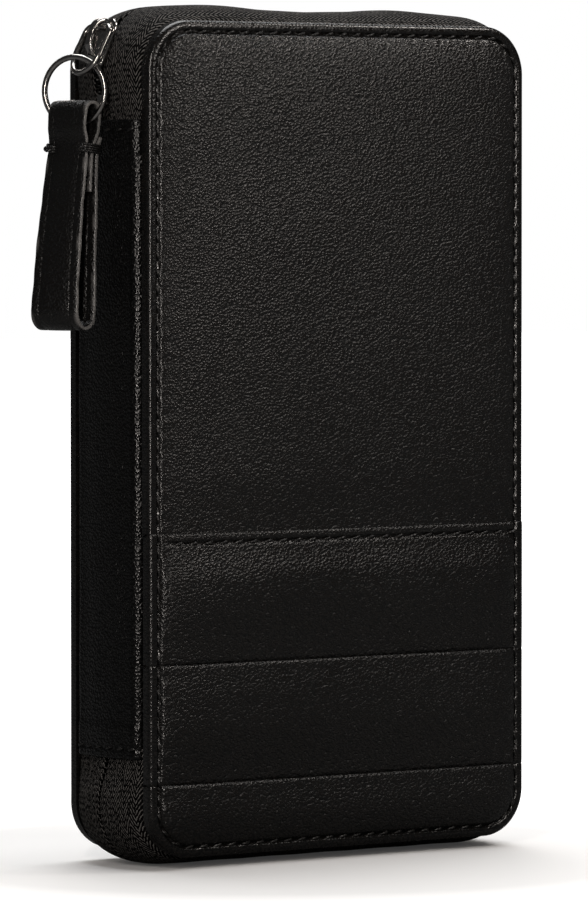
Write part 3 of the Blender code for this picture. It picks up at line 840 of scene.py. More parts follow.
def bandPiece(k, name):
    high = lowEdge + bands["tops"][k]
    lowest = k == 2
    low = lowEdge if lowest else lowEdge + bands["tops"][k + 1]
    tall = high - low
    foot = low if lowest else low - bands["lap"]
    ladder = insetLadder(case["halfWidth"], coarseSteps=46)
    columns = np.concatenate([-case["halfWidth"] + ladder, (case["halfWidth"] - ladder)[::-1][1:]])
    wrap = 3
    turns = np.linspace(0, math.pi / 2, 6)
    rolled = bands["roll"] * (1 - np.cos(turns))
    near = np.arange(1, 14) * 0.35 * mm + bands["roll"]
    rest = np.linspace(near[-1], high - foot, int((high - foot - near[-1]) / (1.0 * mm)) + 1)[1:]
    downs = np.concatenate([rolled, near, rest])
    if lowest:
        bottom = insetLadder(6.0 * mm, fineSteps=14, coarseSteps=1)[:-1]
        downs = np.concatenate([downs[downs < tall - 6.2 * mm], (tall - bottom)[::-1]])
    rows = (downs / (high - foot))[::-1]            # share of the height, from the top edge, lowest first
    across = len(columns) - 1 + 2 * wrap
    along = len(rows) - 1 + wrap + (wrap if lowest else 0)
    wraps = np.array([0.0, 0.35, 0.7, 1.0])
    depth = case["halfDepth"] - case["innerDepth"] - cover["edgeRound"] - 0.1 * mm

    def place(i, j):
        beforeX = np.clip(wrap - i, 0, wrap)
        afterX = np.clip(i - (across - wrap), 0, wrap)
        beforeZ = np.clip(wrap - j, 0, wrap) if lowest else np.zeros_like(j)
        topWrap = np.clip(j - (along - wrap), 0, wrap)
        x = columns[np.clip(i - wrap, 0, len(columns) - 1)]
        share = rows[np.clip(j - (wrap if lowest else 0), 0, len(rows) - 1)]
        bendX = np.clip(np.abs(x) - flatX, 0, case["corner"])
        floor = foot
        if lowest:          # it follows the cover's rounded corners
            floor = foot + (case["corner"] - np.sqrt(np.maximum(case["corner"] ** 2 - bendX ** 2, 0)))
        z = high - share * (high - floor)
        below = high - z
        e = edgeDistance(x, z)
        if not lowest:
            e = np.minimum(e, case["halfWidth"] - np.abs(x))
        e = np.maximum(e, 0)
        out, inside = bandStand(k, e, x, z, below, tall)
        roll = bands["roll"]
        inner = np.clip(roll - below, 0, roll)
        rollDown = roll - np.sqrt(np.maximum(roll ** 2 - inner ** 2, 0))
        out = out - rollDown * (0.35 + 0.65 * inside)
        tuck = np.zeros_like(z) if lowest else 1 - smoothStep(low - 1.0 * mm, low + 0.2 * mm, z)
        out = out * (1 - tuck) - 0.75 * mm * tuck          # its foot goes under the next band
        x = x * (1 - 0.45 * mm / case["halfWidth"] * tuck)
        back = wraps[np.maximum(np.maximum(beforeX, afterX), beforeZ)] * depth
        back = back + topWrap * 0.35 * mm
        return stack(x, -(case["halfDepth"] + out) + back, z - topWrap * 0.02 * mm)

    piece = gridPiece(name, across, along, place)
    thicken(piece, bands["leather"], 60)
    return piece


for k, level in enumerate(("upper", "middle", "lower")):
    band = bandPiece(k, "band" + level.title())
    pressedFlange(band)
    settle(band, "front_half", coverLeather, ["front_band_" + level])
print("bands laid")


# stitches: one thread stitch, copied along each seam
def oneStitch():
    bpy.ops.object.select_all(action="DESELECT")
    bpy.ops.mesh.primitive_uv_sphere_add(segments=6, ring_count=6, radius=1)
    stitch = bpy.context.object
    stitch.name = "oneStitch"
    spots = readSpots(stitch)
    half = sewing["long"] / 2
    t = spots[:, 2]
    body = np.sqrt(np.maximum(1 - np.abs(t) ** 3.5, 0)) * sewing["thread"]
    ringSize = np.maximum(np.hypot(spots[:, 0], spots[:, 1]), 1e-9)
    made = np.stack([t * half, spots[:, 0] / ringSize * body, spots[:, 1] / ringSize * body], axis=1)
    made[:, 2] += 0.1 * mm - 0.7 * mm * np.abs(t) ** 2.6          # its ends dive into the holes
    writeSpots(stitch, made)
    closeUp(stitch, fill=False)
    stitch.data.shade_smooth()
    return stitch


masterStitch = oneStitch()


def sewSeam(name, spots, headings, outs, body):
    # spots are places in the frame; headings run along the seam
    parts = []
    for spot, heading, out in zip(spots, headings, outs):
        out = Vector(out).normalized()
        heading = Vector(heading).normalized()
        heading = Matrix.Rotation(sewing["slant"], 3, out) @ heading
        side = out.cross(heading)
        turn = Matrix((heading, side, out)).transposed().to_4x4()
        mesh = masterStitch.data.copy()
        mesh.transform(Matrix.Translation(spot) @ turn)
        part = bpy.data.objects.new(name, mesh)
        bpy.context.collection.objects.link(part)
        parts.append(part)
    settle(joinPieces(name, parts), body, waxedThread)


def sewLine(name, spots, heading, out, body):
    # a straight seam: one heading and one outward direction for all its stitches
    sewSeam(name, spots, [heading] * len(spots), [out] * len(spots), body)


def perimeterSeam(name, side, body):
    walked = (np.arange(perimeterStitches) + 0.5) * perimeterPitch
    x, z, turn = aroundCase(walked, sewing["edgeIn"])
    flange = cover["flange"] - cover["groove"] * 0.3
    raised = np.where((z < bandTop) & (side < 0), cover["raised"], 0)
    y = side * (case["halfDepth"] + flange + raised)
    if side > 0:
        x = -x
    spots = stack(x, y, z)
    ahead = np.stack([np.sin(turn) * (-side), np.zeros_like(turn), -np.cos(turn)], axis=1)
    sewSeam(name, spots, ahead, [(0, side, 0)] * len(x), body)


perimeterSeam("frontSeam", -1, "front_half")
perimeterSeam("backSeam", 1, "back_half")


def hemSeam():
    # along the upper band's top edge
    reach = case["halfWidth"] - sewing["edgeIn"] - 1.2 * mm
    count = int(2 * reach / sewing["pitch"])
    x = np.linspace(-reach, reach, count)
    z = np.full(count, bandTop - bands["hemStitch"])
    below = np.full(count, bands["hemStitch"])
    out = bandStand(0, edgeDistance(x, z), x, z, below, bands["tops"][0] - bands["tops"][1])[0]
    spots = stack(x, -(case["halfDepth"] + out + 0.5 * mm), z)
    sewLine("bandSeam", spots, (1, 0, 0), (0, -1, 0), "front_half")


hemSeam()
print("edges stitched")


# spine: a bowed leather wall, hemmed at both ends
spine = {
    "low": 26 * mm,
    "high": 194 * mm,
    "bulge": 1.9 * mm,
    "halfWide": 14.2 * mm,
    "edgeRound": 2.6 * mm,
    "hem": 9 * mm,
    "hemStitch": 2.7 * mm,
    "leather": 0.8 * mm,
    "endRound": 0.7 * mm,
    "cordAt": 12.0 * mm,       # the rolled edges, like cords
    "cord": 0.35 * mm,
}


def spineOut(y, fromEnd):
    out = spine["bulge"] * (1 - (y / case["innerDepth"]) ** 2)
    radius = spine["edgeRound"]
    inner = np.clip(radius - (spine["halfWide"] - np.abs(y)), 0, radius)
    out = out - (radius - np.sqrt(np.maximum(radius ** 2 - inner ** 2, 0)))
    out = out + spine["cord"] * np.exp(-((np.abs(y) - spine["cordAt"]) / (1.6 * mm)) ** 2)
    radius = spine["endRound"]
    inner = np.clip(radius - fromEnd, 0, radius)
    out = out - (radius - np.sqrt(np.maximum(radius ** 2 - inner ** 2, 0)))
    out = out + 0.28 * mm * (1 - smoothStep(spine["hem"] - 1.0 * mm, spine["hem"] + 1.0 * mm, fromEnd))
    out = out - 0.3 * mm * np.exp(-((fromEnd - spine["hemStitch"]) / (0.45 * mm)) ** 2)
    return out


def spinePiece():
    turns = np.linspace(0, math.pi / 2, 6)
    first = spine["edgeRound"] * (1 - np.cos(turns))
    rest = np.linspace(spine["edgeRound"], spine["halfWide"], 20)[1:]
    ladder = np.concatenate([first, rest])
    ys = np.concatenate([-spine["halfWide"] + ladder, (spine["halfWide"] - ladder)[::-1][1:]])
    endTurns = spine["endRound"] * (1 - np.cos(turns))
    near = np.arange(1, 30) * 0.35 * mm + spine["endRound"]
    half = (spine["high"] - spine["low"]) / 2
    middle = np.linspace(near[-1], half, 60)[1:]
    ends = np.concatenate([endTurns, near, middle])
    zs = np.concatenate([-half + ends, (half - ends)[::-1][1:]])
    centre = (spine["high"] + spine["low"]) / 2 + lowEdge
    wrap = 2

    def place(i, j):
        y = -ys[np.clip(i - wrap, 0, len(ys) - 1)]
        z = zs[j]
        fromEnd = half - np.abs(z)
        edge = np.clip(wrap - i, 0, wrap) + np.clip(i - (len(ys) - 1 + wrap), 0, wrap)
        ripple = 0.10 * mm * np.sin(z / (7.5 * mm)) * np.sin(z / (23 * mm) + 1)
        out = spineOut(y, fromEnd) + ripple * np.abs(y) / spine["halfWide"]
        return stack(-(case["halfWidth"] + out) + edge * 0.5 * mm, y, z + centre)

    piece = gridPiece("spinePanel", len(ys) - 1 + 2 * wrap, len(zs) - 1, place)
    thicken(piece, spine["leather"], 60)
    return piece


spinePanel = spinePiece()
fromMiddle = np.abs(readSpots(spinePanel)[:, 1] - case["midY"])
markPressed(spinePanel, 0.9 * smoothStep(10.5 * mm, 12.5 * mm, fromMiddle))
settle(spinePanel, "spine", shadedSpineLeather, ["spine_leather"])
for label, height, sign in (("Low", spine["low"], 1), ("High", spine["high"], -1)):
    count = 6
    y = np.linspace(-11.5, 11.5, count) * mm
    z = np.full(count, lowEdge + height + sign * spine["hemStitch"])
    out = spineOut(y, np.full(count, spine["hemStitch"])) + 0.02 * mm
    spots = stack(-(case["halfWidth"] + out), y, z)
    sewLine("spineSeam" + label, spots, (0, -1, 0), (-1, 0, 0), "spine")
print("spine hemmed")


# zip: woven tapes over nylon coils
zipper = {
    "tape": 0.7 * mm,
    "crown": 2.8 * mm,
    "slit": 0.32 * mm,
    "mouth": 2.2 * mm,
    "slitShift": -0.8 * mm,
    "coilTurn": 1.6 * mm,
    "coilRadius": 0.75 * mm,
    "coilWire": 0.26 * mm,
    "foot": 1.5 * mm,          # how far the tape goes in beside the covers
    "waves": ((-34 * mm, 1.35 * mm), (30 * mm, 1.05 * mm)),     # where the top rises, and how far
    "waveWide": 17 * mm,
    "tuck": 2.4 * mm,          # how far it goes in at the spine's hems
    "tuckReach": 11 * mm,
}
hemHigh = spine["high"] - case["halfHeight"]
hemLow = spine["low"] - case["halfHeight"]
zipStart = hemHigh - 3 * mm
zipEnd = outlineLength(0) + hemLow + 3 * mm


def crownAt(x, z):
    # the soft top rises and dips along its length
    onTop = smoothStep(flatZ, case["halfHeight"], z)
    wave = sum(high * np.exp(-((x - at) / zipper["waveWide"]) ** 2) for at, high in zipper["waves"])
    lift = 0.55 * mm * smoothStep(-62 * mm, -45 * mm, x) * (1 - smoothStep(25 * mm, 60 * mm, x))
    reach = zipper["tuckReach"]
    upper = (1 - smoothStep(0, reach, z - hemHigh)) * (z > 0)
    lower = (1 - smoothStep(0, reach, hemLow - z)) * (z < 0)
    return zipper["crown"] + onTop * (wave + lift) - zipper["tuck"] * (upper + lower) * (x < -flatX)


def slitAt(walked):
    shut = smoothStep(flatZ + 8 * mm, flatZ + 17 * mm, walked)
    ending = smoothStep(zipEnd - 14 * mm, zipEnd, walked)
    return zipper["mouth"] + (zipper["slit"] - zipper["mouth"]) * shut + 0.5 * mm * ending


def tapePiece(name, side, body, node):
    stations = int((zipEnd - zipStart) / (1.15 * mm))
    walked = np.linspace(zipStart, zipEnd, stations + 1)
    bx, bz, turn = aroundCase(walked)
    acrossSteps = 18
    edge = 14.8 * mm

    def place(i, j):
        slit = slitAt(walked[j]) - side * zipper["slitShift"]
        share = i / acrossSteps
        y = edge + (slit - edge) * share
        rise = (1 - (np.clip(y, 0, edge) / edge) ** 2.5) ** 0.55
        out = -zipper["foot"] + (crownAt(bx[j], bz[j]) + zipper["foot"]) * rise
        out = out - 0.35 * mm * np.clip((i - acrossSteps + 1), 0, 1)
        out = out + 0.05 * mm * np.sin(walked[j] / (2.9 * mm) + share * 5)
        x = bx[j] + out * np.cos(turn[j])
        z = bz[j] + out * np.sin(turn[j])
        return stack(x, side * y, z)

    piece = gridPiece(name, acrossSteps, stations, place)
    stretchUv(piece, 16 * mm, zipEnd - zipStart)
    if side < 0:
        turnFaces(piece)
    thicken(piece, zipper["tape"], 60)
    settle(piece, body, tapeCloth, [node])


def coilPiece(name, side, body, node):
    length = zipEnd - zipStart - 2 * mm
    perTurn = 8
    count = int(length / zipper["coilTurn"]) * perTurn
    walked = np.linspace(zipStart + 1 * mm, zipEnd - 1 * mm, count + 1)
    bx, bz, turn = aroundCase(walked)
    angle = np.arange(count + 1) * 2 * math.pi / perTurn
    radius = zipper["coilRadius"]
    middle = crownAt(bx, bz) - zipper["tape"] - 0.35 * mm - radius - 0.35 * mm
    slit = slitAt(walked) - side * zipper["slitShift"]
    out = middle + radius * np.cos(angle)
    y = slit + 1.15 * mm + 0.95 * mm * np.sin(angle)
    path = stack(bx + out * np.cos(turn), side * y, bz + out * np.sin(turn))
    sideways, upward = framesAlong(path, False)
    piece = sweptPiece(name, path, sideways, upward, roundProfile(zipper["coilWire"], 4))
    smoothOver(piece, 80)
    settle(piece, body, coilNylon, [node])


for makePiece, kind in ((tapePiece, "tape"), (coilPiece, "coil")):
    for half, side in (("front", -1), ("back", 1)):
        makePiece(half + kind.title(), side, half + "_half", "zip_%s_%s" % (kind, half))


def endTab(name, node):
    # a folded scrap of tape that ends the zip under the spine's hem
    mid, (halfX, halfY, halfZ) = roomOf(node)[2:]
    across, along = 10, 24

    def place(i, j):
        u = i / across * 2 - 1
        v = j / along * 2 - 1
        x = mid.x + halfX + 0.3 * mm - 0.15 * mm * (1 - u * u) + 0.06 * mm * np.sin(v * 9)
        return np.stack([x, mid.y - u * halfY * (1 - 0.04 * v * v), mid.z + v * halfZ], axis=1)

    piece = gridPiece(name, across, along, place)
    stretchUv(piece, 2 * halfY, 2 * halfZ)
    thicken(piece, 0.5 * mm)
    settle(piece, "spine", tapeCloth, [node])


endTab("upperEndTab", "zip_end_tab_upper")
endTab("lowerEndTab", "zip_end_tab_lower")
print("zip laid")


# slider, link and ring
slider = {
    "angle": math.radians(160),
    "length": 14.2 * mm,
    "nose": 8.2 * mm,
    "plate": 1.3 * mm,
    "eye": 2.4 * mm,
    "bridge": 1.2 * mm,
    "bridgeWide": 2.6 * mm,
}
arcCentre = caseMid + Vector((-flatX, 0, flatZ))
plateLow = case["corner"] + zipper["crown"] + 0.3 * mm
plateHigh = plateLow + slider["plate"]
sliderAway = Vector((math.cos(slider["angle"]), 0, math.sin(slider["angle"])))
sliderUp = Vector((math.sin(slider["angle"]), 0, -math.cos(slider["angle"])))
sliderAcross = Vector((0, 1, 0))


def sliderBar(name, stations, profileOf, steps=6):
    # a solid along the slider; each station is (along, out, half wide, half thick)
    path, profiles = [], []
    for along, out, wide, thick in stations:
        path.append(tuple(arcCentre + float(out) * sliderAway + float(along) * sliderUp))
        profiles.append(softBarProfile(wide, thick, profileOf * min(wide, thick), steps))
    path = np.array(path)
    sideways = np.tile(tuple(sliderAcross), (len(path), 1))
    upward = np.tile(tuple(sliderAway), (len(path), 1))
    return sweptPiece(name, path, sideways, upward, np.array(profiles))


def sliderPieces():
    tail = slider["nose"] - slider["length"]
    nose = slider["nose"]
    marks = smoothPath([(tail, 2.2), (tail + 1.5 * mm, 3.4), (tail + 4 * mm, 3.9), (tail + 8 * mm, 4.3),
                        (nose - 3 * mm, 4.8), (nose - 1 * mm, 4.2), (nose, 3.0)], 5)
    middle = (plateLow + plateHigh) / 2
    stations = []
    for n, (along, wide) in enumerate(marks):          # its rim is thinner at both ends
        ending = min(n, len(marks) - 1 - n) / 3
        thick = slider["plate"] / 2 * (0.55 + 0.45 * min(1, ending))
        stations.append((along, middle, wide * mm, thick))
    plate = sliderBar("sliderPlate", stations, 0.8)
    postEnds = [(along, case["corner"] + 0.9 * mm, 0.3 * mm, 2.4 * mm) for along in (-1.5 * mm, 1.5 * mm)]
    post = sliderBar("sliderPost", postEnds, 0.6, 2)
    underMarks = ((-3, 0.9, 0.3), (-2.6, 1.4, 0.55), (0, 1.6, 0.6), (2.6, 1.4, 0.55), (3, 0.9, 0.3))
    under = [(along * mm, case["corner"] - 1.6 * mm, wide * mm, thick * mm)
             for along, wide, thick in underMarks]
    inner = sliderBar("sliderUnder", under, 0.8, 3)
    whole = joinPieces("sliderBody", [plate, post, inner])
    smoothOver(whole, 50)
    settle(whole, "slider", gunmetalPlate, ["slider_body"])

    eyeTop = plateHigh + slider["eye"]
    high = eyeTop + slider["bridge"] / 2
    arch = smoothPath([(-3.0, 0.1), (-2.6, 1.0), (-1.6, 1.95), (0.2, high / mm - plateHigh / mm),
                       (2.5, high / mm - plateHigh / mm + 0.1), (5.0, high / mm - plateHigh / mm),
                       (6.5, 2.2), (7.2, 1.1), (7.4, 0.1)], 6)
    path = np.array([tuple(arcCentre + float(plateHigh + out * mm) * sliderAway + float(along * mm) * sliderUp)
                     for along, out in arch])
    ahead = unit(np.gradient(path, axis=0))
    sideways = np.tile(tuple(sliderAcross), (len(path), 1))
    upward = np.cross(ahead, sideways)
    taper = np.interp(np.linspace(0, 1, len(path)), (0, 0.12, 0.5, 0.88, 1), (1.25, 1.0, 0.86, 1.0, 1.25))
    bar = softBarProfile(slider["bridgeWide"] / 2, slider["bridge"] / 2, 0.45 * mm, 4)
    profiles = np.repeat(bar[None], len(path), axis=0)
    profiles[:, :, 0] *= taper[:, None]
    bridge = sweptPiece("sliderBridge", path, sideways, upward, profiles)
    smoothOver(bridge, 50)
    settle(bridge, "slider", gunmetalPlate, ["slider_bridge"])


sliderPieces()

pull = {
    "linkWire": 0.75 * mm,
    "linkHalf": 5.4 * mm,
    "linkLong": 14.0 * mm,
    "linkLean": math.radians(28),
    "linkCorner": 2.2 * mm,
    "ringWire": 0.8 * mm,
    "ringRadius": 8.9 * mm,
    "ringTurn": math.radians(28),
    "strapWide": 14 * mm,
    "strapThick": 1.25 * mm,
    "strapDrop": 57 * mm,
    "strapTurn": math.radians(24),
    "strapTopTurn": math.radians(9),
    "strapLean": math.radians(5),
}
linkTop = arcCentre + (plateHigh + 1.25 * mm) * sliderAway + 5.5 * mm * sliderUp
linkDown = Vector((-math.sin(pull["linkLean"]), 0, -math.cos(pull["linkLean"])))


def wirePiece(name, path, radius, sides, body, node):
    sideways, upward = framesAlong(path, True)
    piece = sweptPiece(name, path, sideways, upward, roundProfile(radius, sides), loop=True, fill=False)
    piece.data.shade_smooth()
    settle(piece, body, gunmetalPlate, [node])


def linkPath():
    spots = []

    def arc(across, down, radius, start, end, steps):
        for k in range(steps):
            turn = math.radians(start + (end - start) * k / steps)
            spots.append((across + radius * math.cos(turn), down + radius * math.sin(turn)))

    small, half = pull["linkCorner"], pull["linkHalf"]
    arc(half - small, small, small, -90, 0, 12)
    arc(0, pull["linkLong"] - half, half, 0, 180, 48)
    arc(-half + small, small, small, 180, 270, 12)
    loop = np.array(spots + [spots[0]])
    loop = evenPath(loop, 0.45 * mm)[:-1]
    return np.array([tuple(linkTop + float(b) * linkDown + Vector((0, a, 0))) for a, b in loop])


wirePiece("wireLink", linkPath(), pull["linkWire"], 14, "link", "pull_link")

ringCentre = linkTop + pull["linkLong"] * linkDown + Vector((0.2 * mm, 2.4 * mm, -4.7 * mm))


def jumpRing():
    bpy.ops.object.select_all(action="DESELECT")
    bpy.ops.mesh.primitive_torus_add(major_segments=96, minor_segments=16, major_radius=pull["ringRadius"],
                                     minor_radius=pull["ringWire"], location=ringCentre,
                                     rotation=(math.pi / 2, 0, pull["ringTurn"] + math.pi / 2))
    ring = bpy.context.object
    ring.name = "jumpRing"
    placeMesh(ring)
    ring.data.shade_smooth()
    settle(ring, "ring", gunmetalPlate, ["jump_ring"])


jumpRing()
print("slider and rings ready")


# folded leather strap and its tie
def strapAxes(turn):
    lean = pull["strapLean"]
    flat = Vector((-math.cos(turn), -math.sin(turn), 0))
    fold = Vector((math.sin(turn), -math.cos(turn), 0))
    down = Vector((0, 0, -math.cos(lean))) + math.sin(lean) * flat
    return down.cross(fold).normalized(), fold, down


rise = pull["ringRadius"] - math.sqrt(pull["ringRadius"] ** 2 - (pull["strapWide"] / 2) ** 2)
foldMiddle = ringCentre + Vector((0, 0, -pull["ringRadius"] + rise))


def strapLine():
    # out and down, in millimetres: tongue, fold over the ring, face, bottom turn, back layer
    spots = [(-0.1, 21), (-0.3, 12), (-1.0, 8.5), (-2.5, 4.4)]
    turns = [math.radians(180 * k / 6) for k in range(7)]
    spots += [(-2.5 * math.cos(turn), -2.5 * math.sin(turn)) for turn in turns]
    drop = pull["strapDrop"] / mm
    spots += [(2.5, 4.4), (1.6, 9.5), (2.9, 24), (5.5, drop - 7)]
    spots += [(1.3 + 4.4 * math.cos(turn), drop - 4.4 + 4.4 * math.sin(turn)) for turn in turns]
    spots += [(-2.6, 24), (-2.3, 11), (-3.3, 6.5)]
    return evenPath(smoothPath(np.array(spots) * mm, 8), 0.6 * mm)


def strapPiece():
    line = strapLine()
    base = np.array(tuple(foldMiddle))
    turn = np.interp(line[:, 1] / mm, (4, 52), (pull["strapTopTurn"], pull["strapTurn"]))
    lean = pull["strapLean"]
    none = np.zeros_like(turn)
    flat = np.stack([-np.cos(turn), -np.sin(turn), none], axis=1)
    fold = np.stack([np.sin(turn), -np.cos(turn), none], axis=1)
    down = math.sin(lean) * flat + np.array((0, 0, -math.cos(lean)))
    out = unit(np.cross(down, fold))
    path = base + line[:, :1] * out + line[:, 1:] * down
    ahead = unit(np.gradient(path, axis=0))
    upward = np.cross(ahead, fold)
    half, thick = pull["strapWide"] / 2, pull["strapThick"] / 2
    crease = half - 2.4 * mm
    byCrease = [crease + gap * mm for gap in (-0.45, -0.15, 0, 0.15, 0.45)]
    right = [2 * mm] + byCrease + [half - 1.2 * mm, half - 0.25 * mm]
    marks = [-mark for mark in reversed(right)] + [0] + right
    face = []
    for mark in marks:
        dent = 0.16 * mm * math.exp(-((abs(mark) - crease) / (0.22 * mm)) ** 2)
        crown = 0.1 * mm * (1 - (mark / half) ** 2)
        face.append((mark, thick - dent + crown - 0.1 * mm))
    profile = face + [(half, thick - 0.3 * mm), (half, -thick + 0.3 * mm)] \
        + [(a, -b) for a, b in reversed(face)] + [(-half, -thick + 0.3 * mm), (-half, thick - 0.3 * mm)]
    profile = np.array(profile)
    profiles = np.repeat(profile[None], len(path), axis=0)
    wobble = 1 + 0.012 * np.sin(np.arange(len(path)) * 0.19) + 0.008 * np.sin(np.arange(len(path)) * 0.53 + 1)
    profiles[:, :, 0] *= wobble[:, None]
    strap = sweptPiece("pullStrap", path, fold, upward, profiles)
    cut = strap.data.attributes.new("cutEdge", "FLOAT", "POINT")
    spots = readSpots(strap)
    nearest = np.argmin(np.linalg.norm(spots[:, None] - path[None], axis=2), axis=1)
    across = np.einsum("ij,ij->i", spots - path[nearest], fold[nearest])
    share = np.clip((np.abs(across) - half + 0.22 * mm) / (0.12 * mm), 0, 1)
    cut.data.foreach_set("value", share)
    smoothOver(strap, 45)
    settle(strap, "tab", strapLeather, ["pull_tab_strap"])


strapPiece()


def tiePiece():
    # whippings over both edges of the strap, each ending in a knot
    turn = pull["strapTopTurn"] + (pull["strapTurn"] - pull["strapTopTurn"]) * (9.8 - 4) / 48
    strapOut, strapFold, strapDown = strapAxes(turn)
    base = foldMiddle + 9.8 * mm * strapDown - 0.35 * mm * strapOut
    parts = []
    for sign in (1, -1):
        centre = base + sign * (pull["strapWide"] / 2 - 1.15 * mm) * strapFold
        spots = []
        turns = 4 if sign > 0 else 3
        for k in range(turns * 20 + 1):
            angle = 2 * math.pi * k / 20
            pitch = (k / 20 - turns / 2) * 0.62 * mm
            a = 3.05 * mm * math.copysign(abs(math.cos(angle)) ** 0.6, math.cos(angle))
            b = 1.75 * mm * math.copysign(abs(math.sin(angle)) ** 0.6, math.sin(angle))
            spots.append(tuple(centre + a * strapOut + sign * b * strapFold + pitch * strapDown))
        path = np.array(spots)
        sideways, upward = framesAlong(path, False, tuple(strapDown))
        parts.append(sweptPiece("whipping", path, sideways, upward, roundProfile(0.33 * mm, 8)))
        knotAt = centre + sign * 0.5 * mm * strapFold + 3.2 * mm * strapOut
        spots = []
        for k in range(48):
            t = 2 * math.pi * k / 48
            a = (math.sin(t) + 2 * math.sin(2 * t)) * 0.34 * mm
            b = (math.cos(t) - 2 * math.cos(2 * t)) * 0.34 * mm
            c = -math.sin(3 * t) * 0.34 * mm
            spots.append(tuple(knotAt + c * strapOut + a * strapFold + b * strapDown))
        path = np.array(spots)
        sideways, upward = framesAlong(path, True)
        knot = sweptPiece("knot", path, sideways, upward, roundProfile(0.32 * mm, 8), loop=True, fill=False)
        parts.append(knot)
    tie = joinPieces("strapTie", parts)
    tie.data.shade_smooth()
    settle(tie, "tab", waxedThread, ["pull_tab_tie"])


tiePiece()
print("strap tied")


# inside: linings, pockets and pen loop
def stitchMarks(mid, half):
    # evenly along one side of a pocket, short of its corners
    count = int((2 * half - 8 * mm) / sewing["pitch"])
    return mid - half + 4 * mm + np.arange(count) * sewing["pitch"]


def pocketPiece(name, node, body, sew=True, front=-1):
    # a leather panel in the place of its frame node, stitched along three sides
    low, high, mid, (halfX, _, halfZ) = roomOf(node)
    thick = high.y - low.y
    inner = -front                       # the side that faces the middle of the case
    edgeIn = 2.2 * mm
    across, along = 44, 60

    def place(i, j):
        u = i / across * 2 - 1
        v = j / along * 2 - 1
        x = halfX * np.sign(u) * (1 - (1 - np.abs(u)) ** 1.15)
        z = halfZ * np.sign(v) * (1 - (1 - np.abs(v)) ** 1.15)
        e = np.minimum(halfX - np.abs(x), halfZ - np.abs(z))
        seam = 0.12 * mm * np.exp(-((e - edgeIn) / (0.5 * mm)) ** 2) if sew else 0 * e
        y = mid.y + inner * (thick / 2 - 0.05 * mm - seam)
        return np.stack([mid.x - front * x, y, mid.z + z], axis=1)

    piece = gridPiece(name, across, along, place)
    stretchUv(piece, 2 * halfX, 2 * halfZ)
    if front < 0:
        turnFaces(piece)
    applied(piece, "SOLIDIFY", thickness=max(thick - 0.1 * mm, 0.3 * mm), offset=-1)
    applied(piece, "BEVEL", width=0.12 * mm, segments=2, limit_method="ANGLE", angle_limit=math.radians(60))
    smoothOver(piece, 50)
    settle(piece, body, pocketLeather, [node])
    if not sew:
        return
    face = mid.y + inner * (thick / 2 + 0.02 * mm)
    rising = stitchMarks(mid.z, halfZ)
    level = stitchMarks(mid.x, halfX)
    spots = [(mid.x + sign * (halfX - edgeIn), face, z) for sign in (-1, 1) for z in rising]
    spots += [(x, face, mid.z - halfZ + edgeIn) for x in level]
    heads = [(0, 0, 1)] * (2 * len(rising)) + [(1, 0, 0)] * len(level)
    sewSeam(name + "Seam", [Vector(spot) for spot in spots], heads, [(0, inner, 0)] * len(spots), body)


def liningPiece(name, node, body, front):
    # cloth glued over the board, following the cover's rounded outline
    low, high, mid, (halfX, _, halfZ) = roomOf(node)
    radius = case["corner"] - (case["halfWidth"] - halfX)
    across, along = 60, 100

    def place(i, j):
        inset = ringsIn(i, j, across, along) / (across / 2) * halfX
        bend = np.maximum(radius - inset, 0)
        x, z = nestedSpots(i, j, across, along, halfX - inset, halfZ - inset, bend)
        y = -front * ((high.y - low.y) / 2 - 0.05 * mm) + 0.03 * mm * slowWaves(x, z, 5)
        return np.stack([mid.x + x, mid.y + y, mid.z + z], axis=1)

    piece = gridPiece(name, across, along, place)
    spots = readSpots(piece)
    index = np.empty(len(piece.data.loops), dtype=np.int32)
    piece.data.loops.foreach_get("vertex_index", index)
    piece.data.uv_layers[0].data.foreach_set("uv", spots[index][:, [0, 2]].ravel())
    if front < 0:
        turnFaces(piece)
    thicken(piece, 0.4 * mm)
    settle(piece, body, liningCloth, [node])


liningPiece("frontLining", "front_cover_lining", "front_half", -1)
liningPiece("backLining", "back_cover_lining", "back_half", 1)
pocketPiece("currencyPocket", "currency_pocket", "front_half")
for k in range(4):
    pocketPiece("cardSlot%d" % (k + 1), "card_slot_%d" % (k + 1), "front_half", sew=(k == 3))
pocketPiece("boardingPassPocket", "boarding_pass_pocket", "back_half", front=1)


passport = {
    "leather": 0.8 * mm,
    "softEdge": 2.0 * mm,
    "soft": 0.5 * mm,
    "pinch": 0.5 * mm,
    "hemStitch": 2.4 * mm,
}


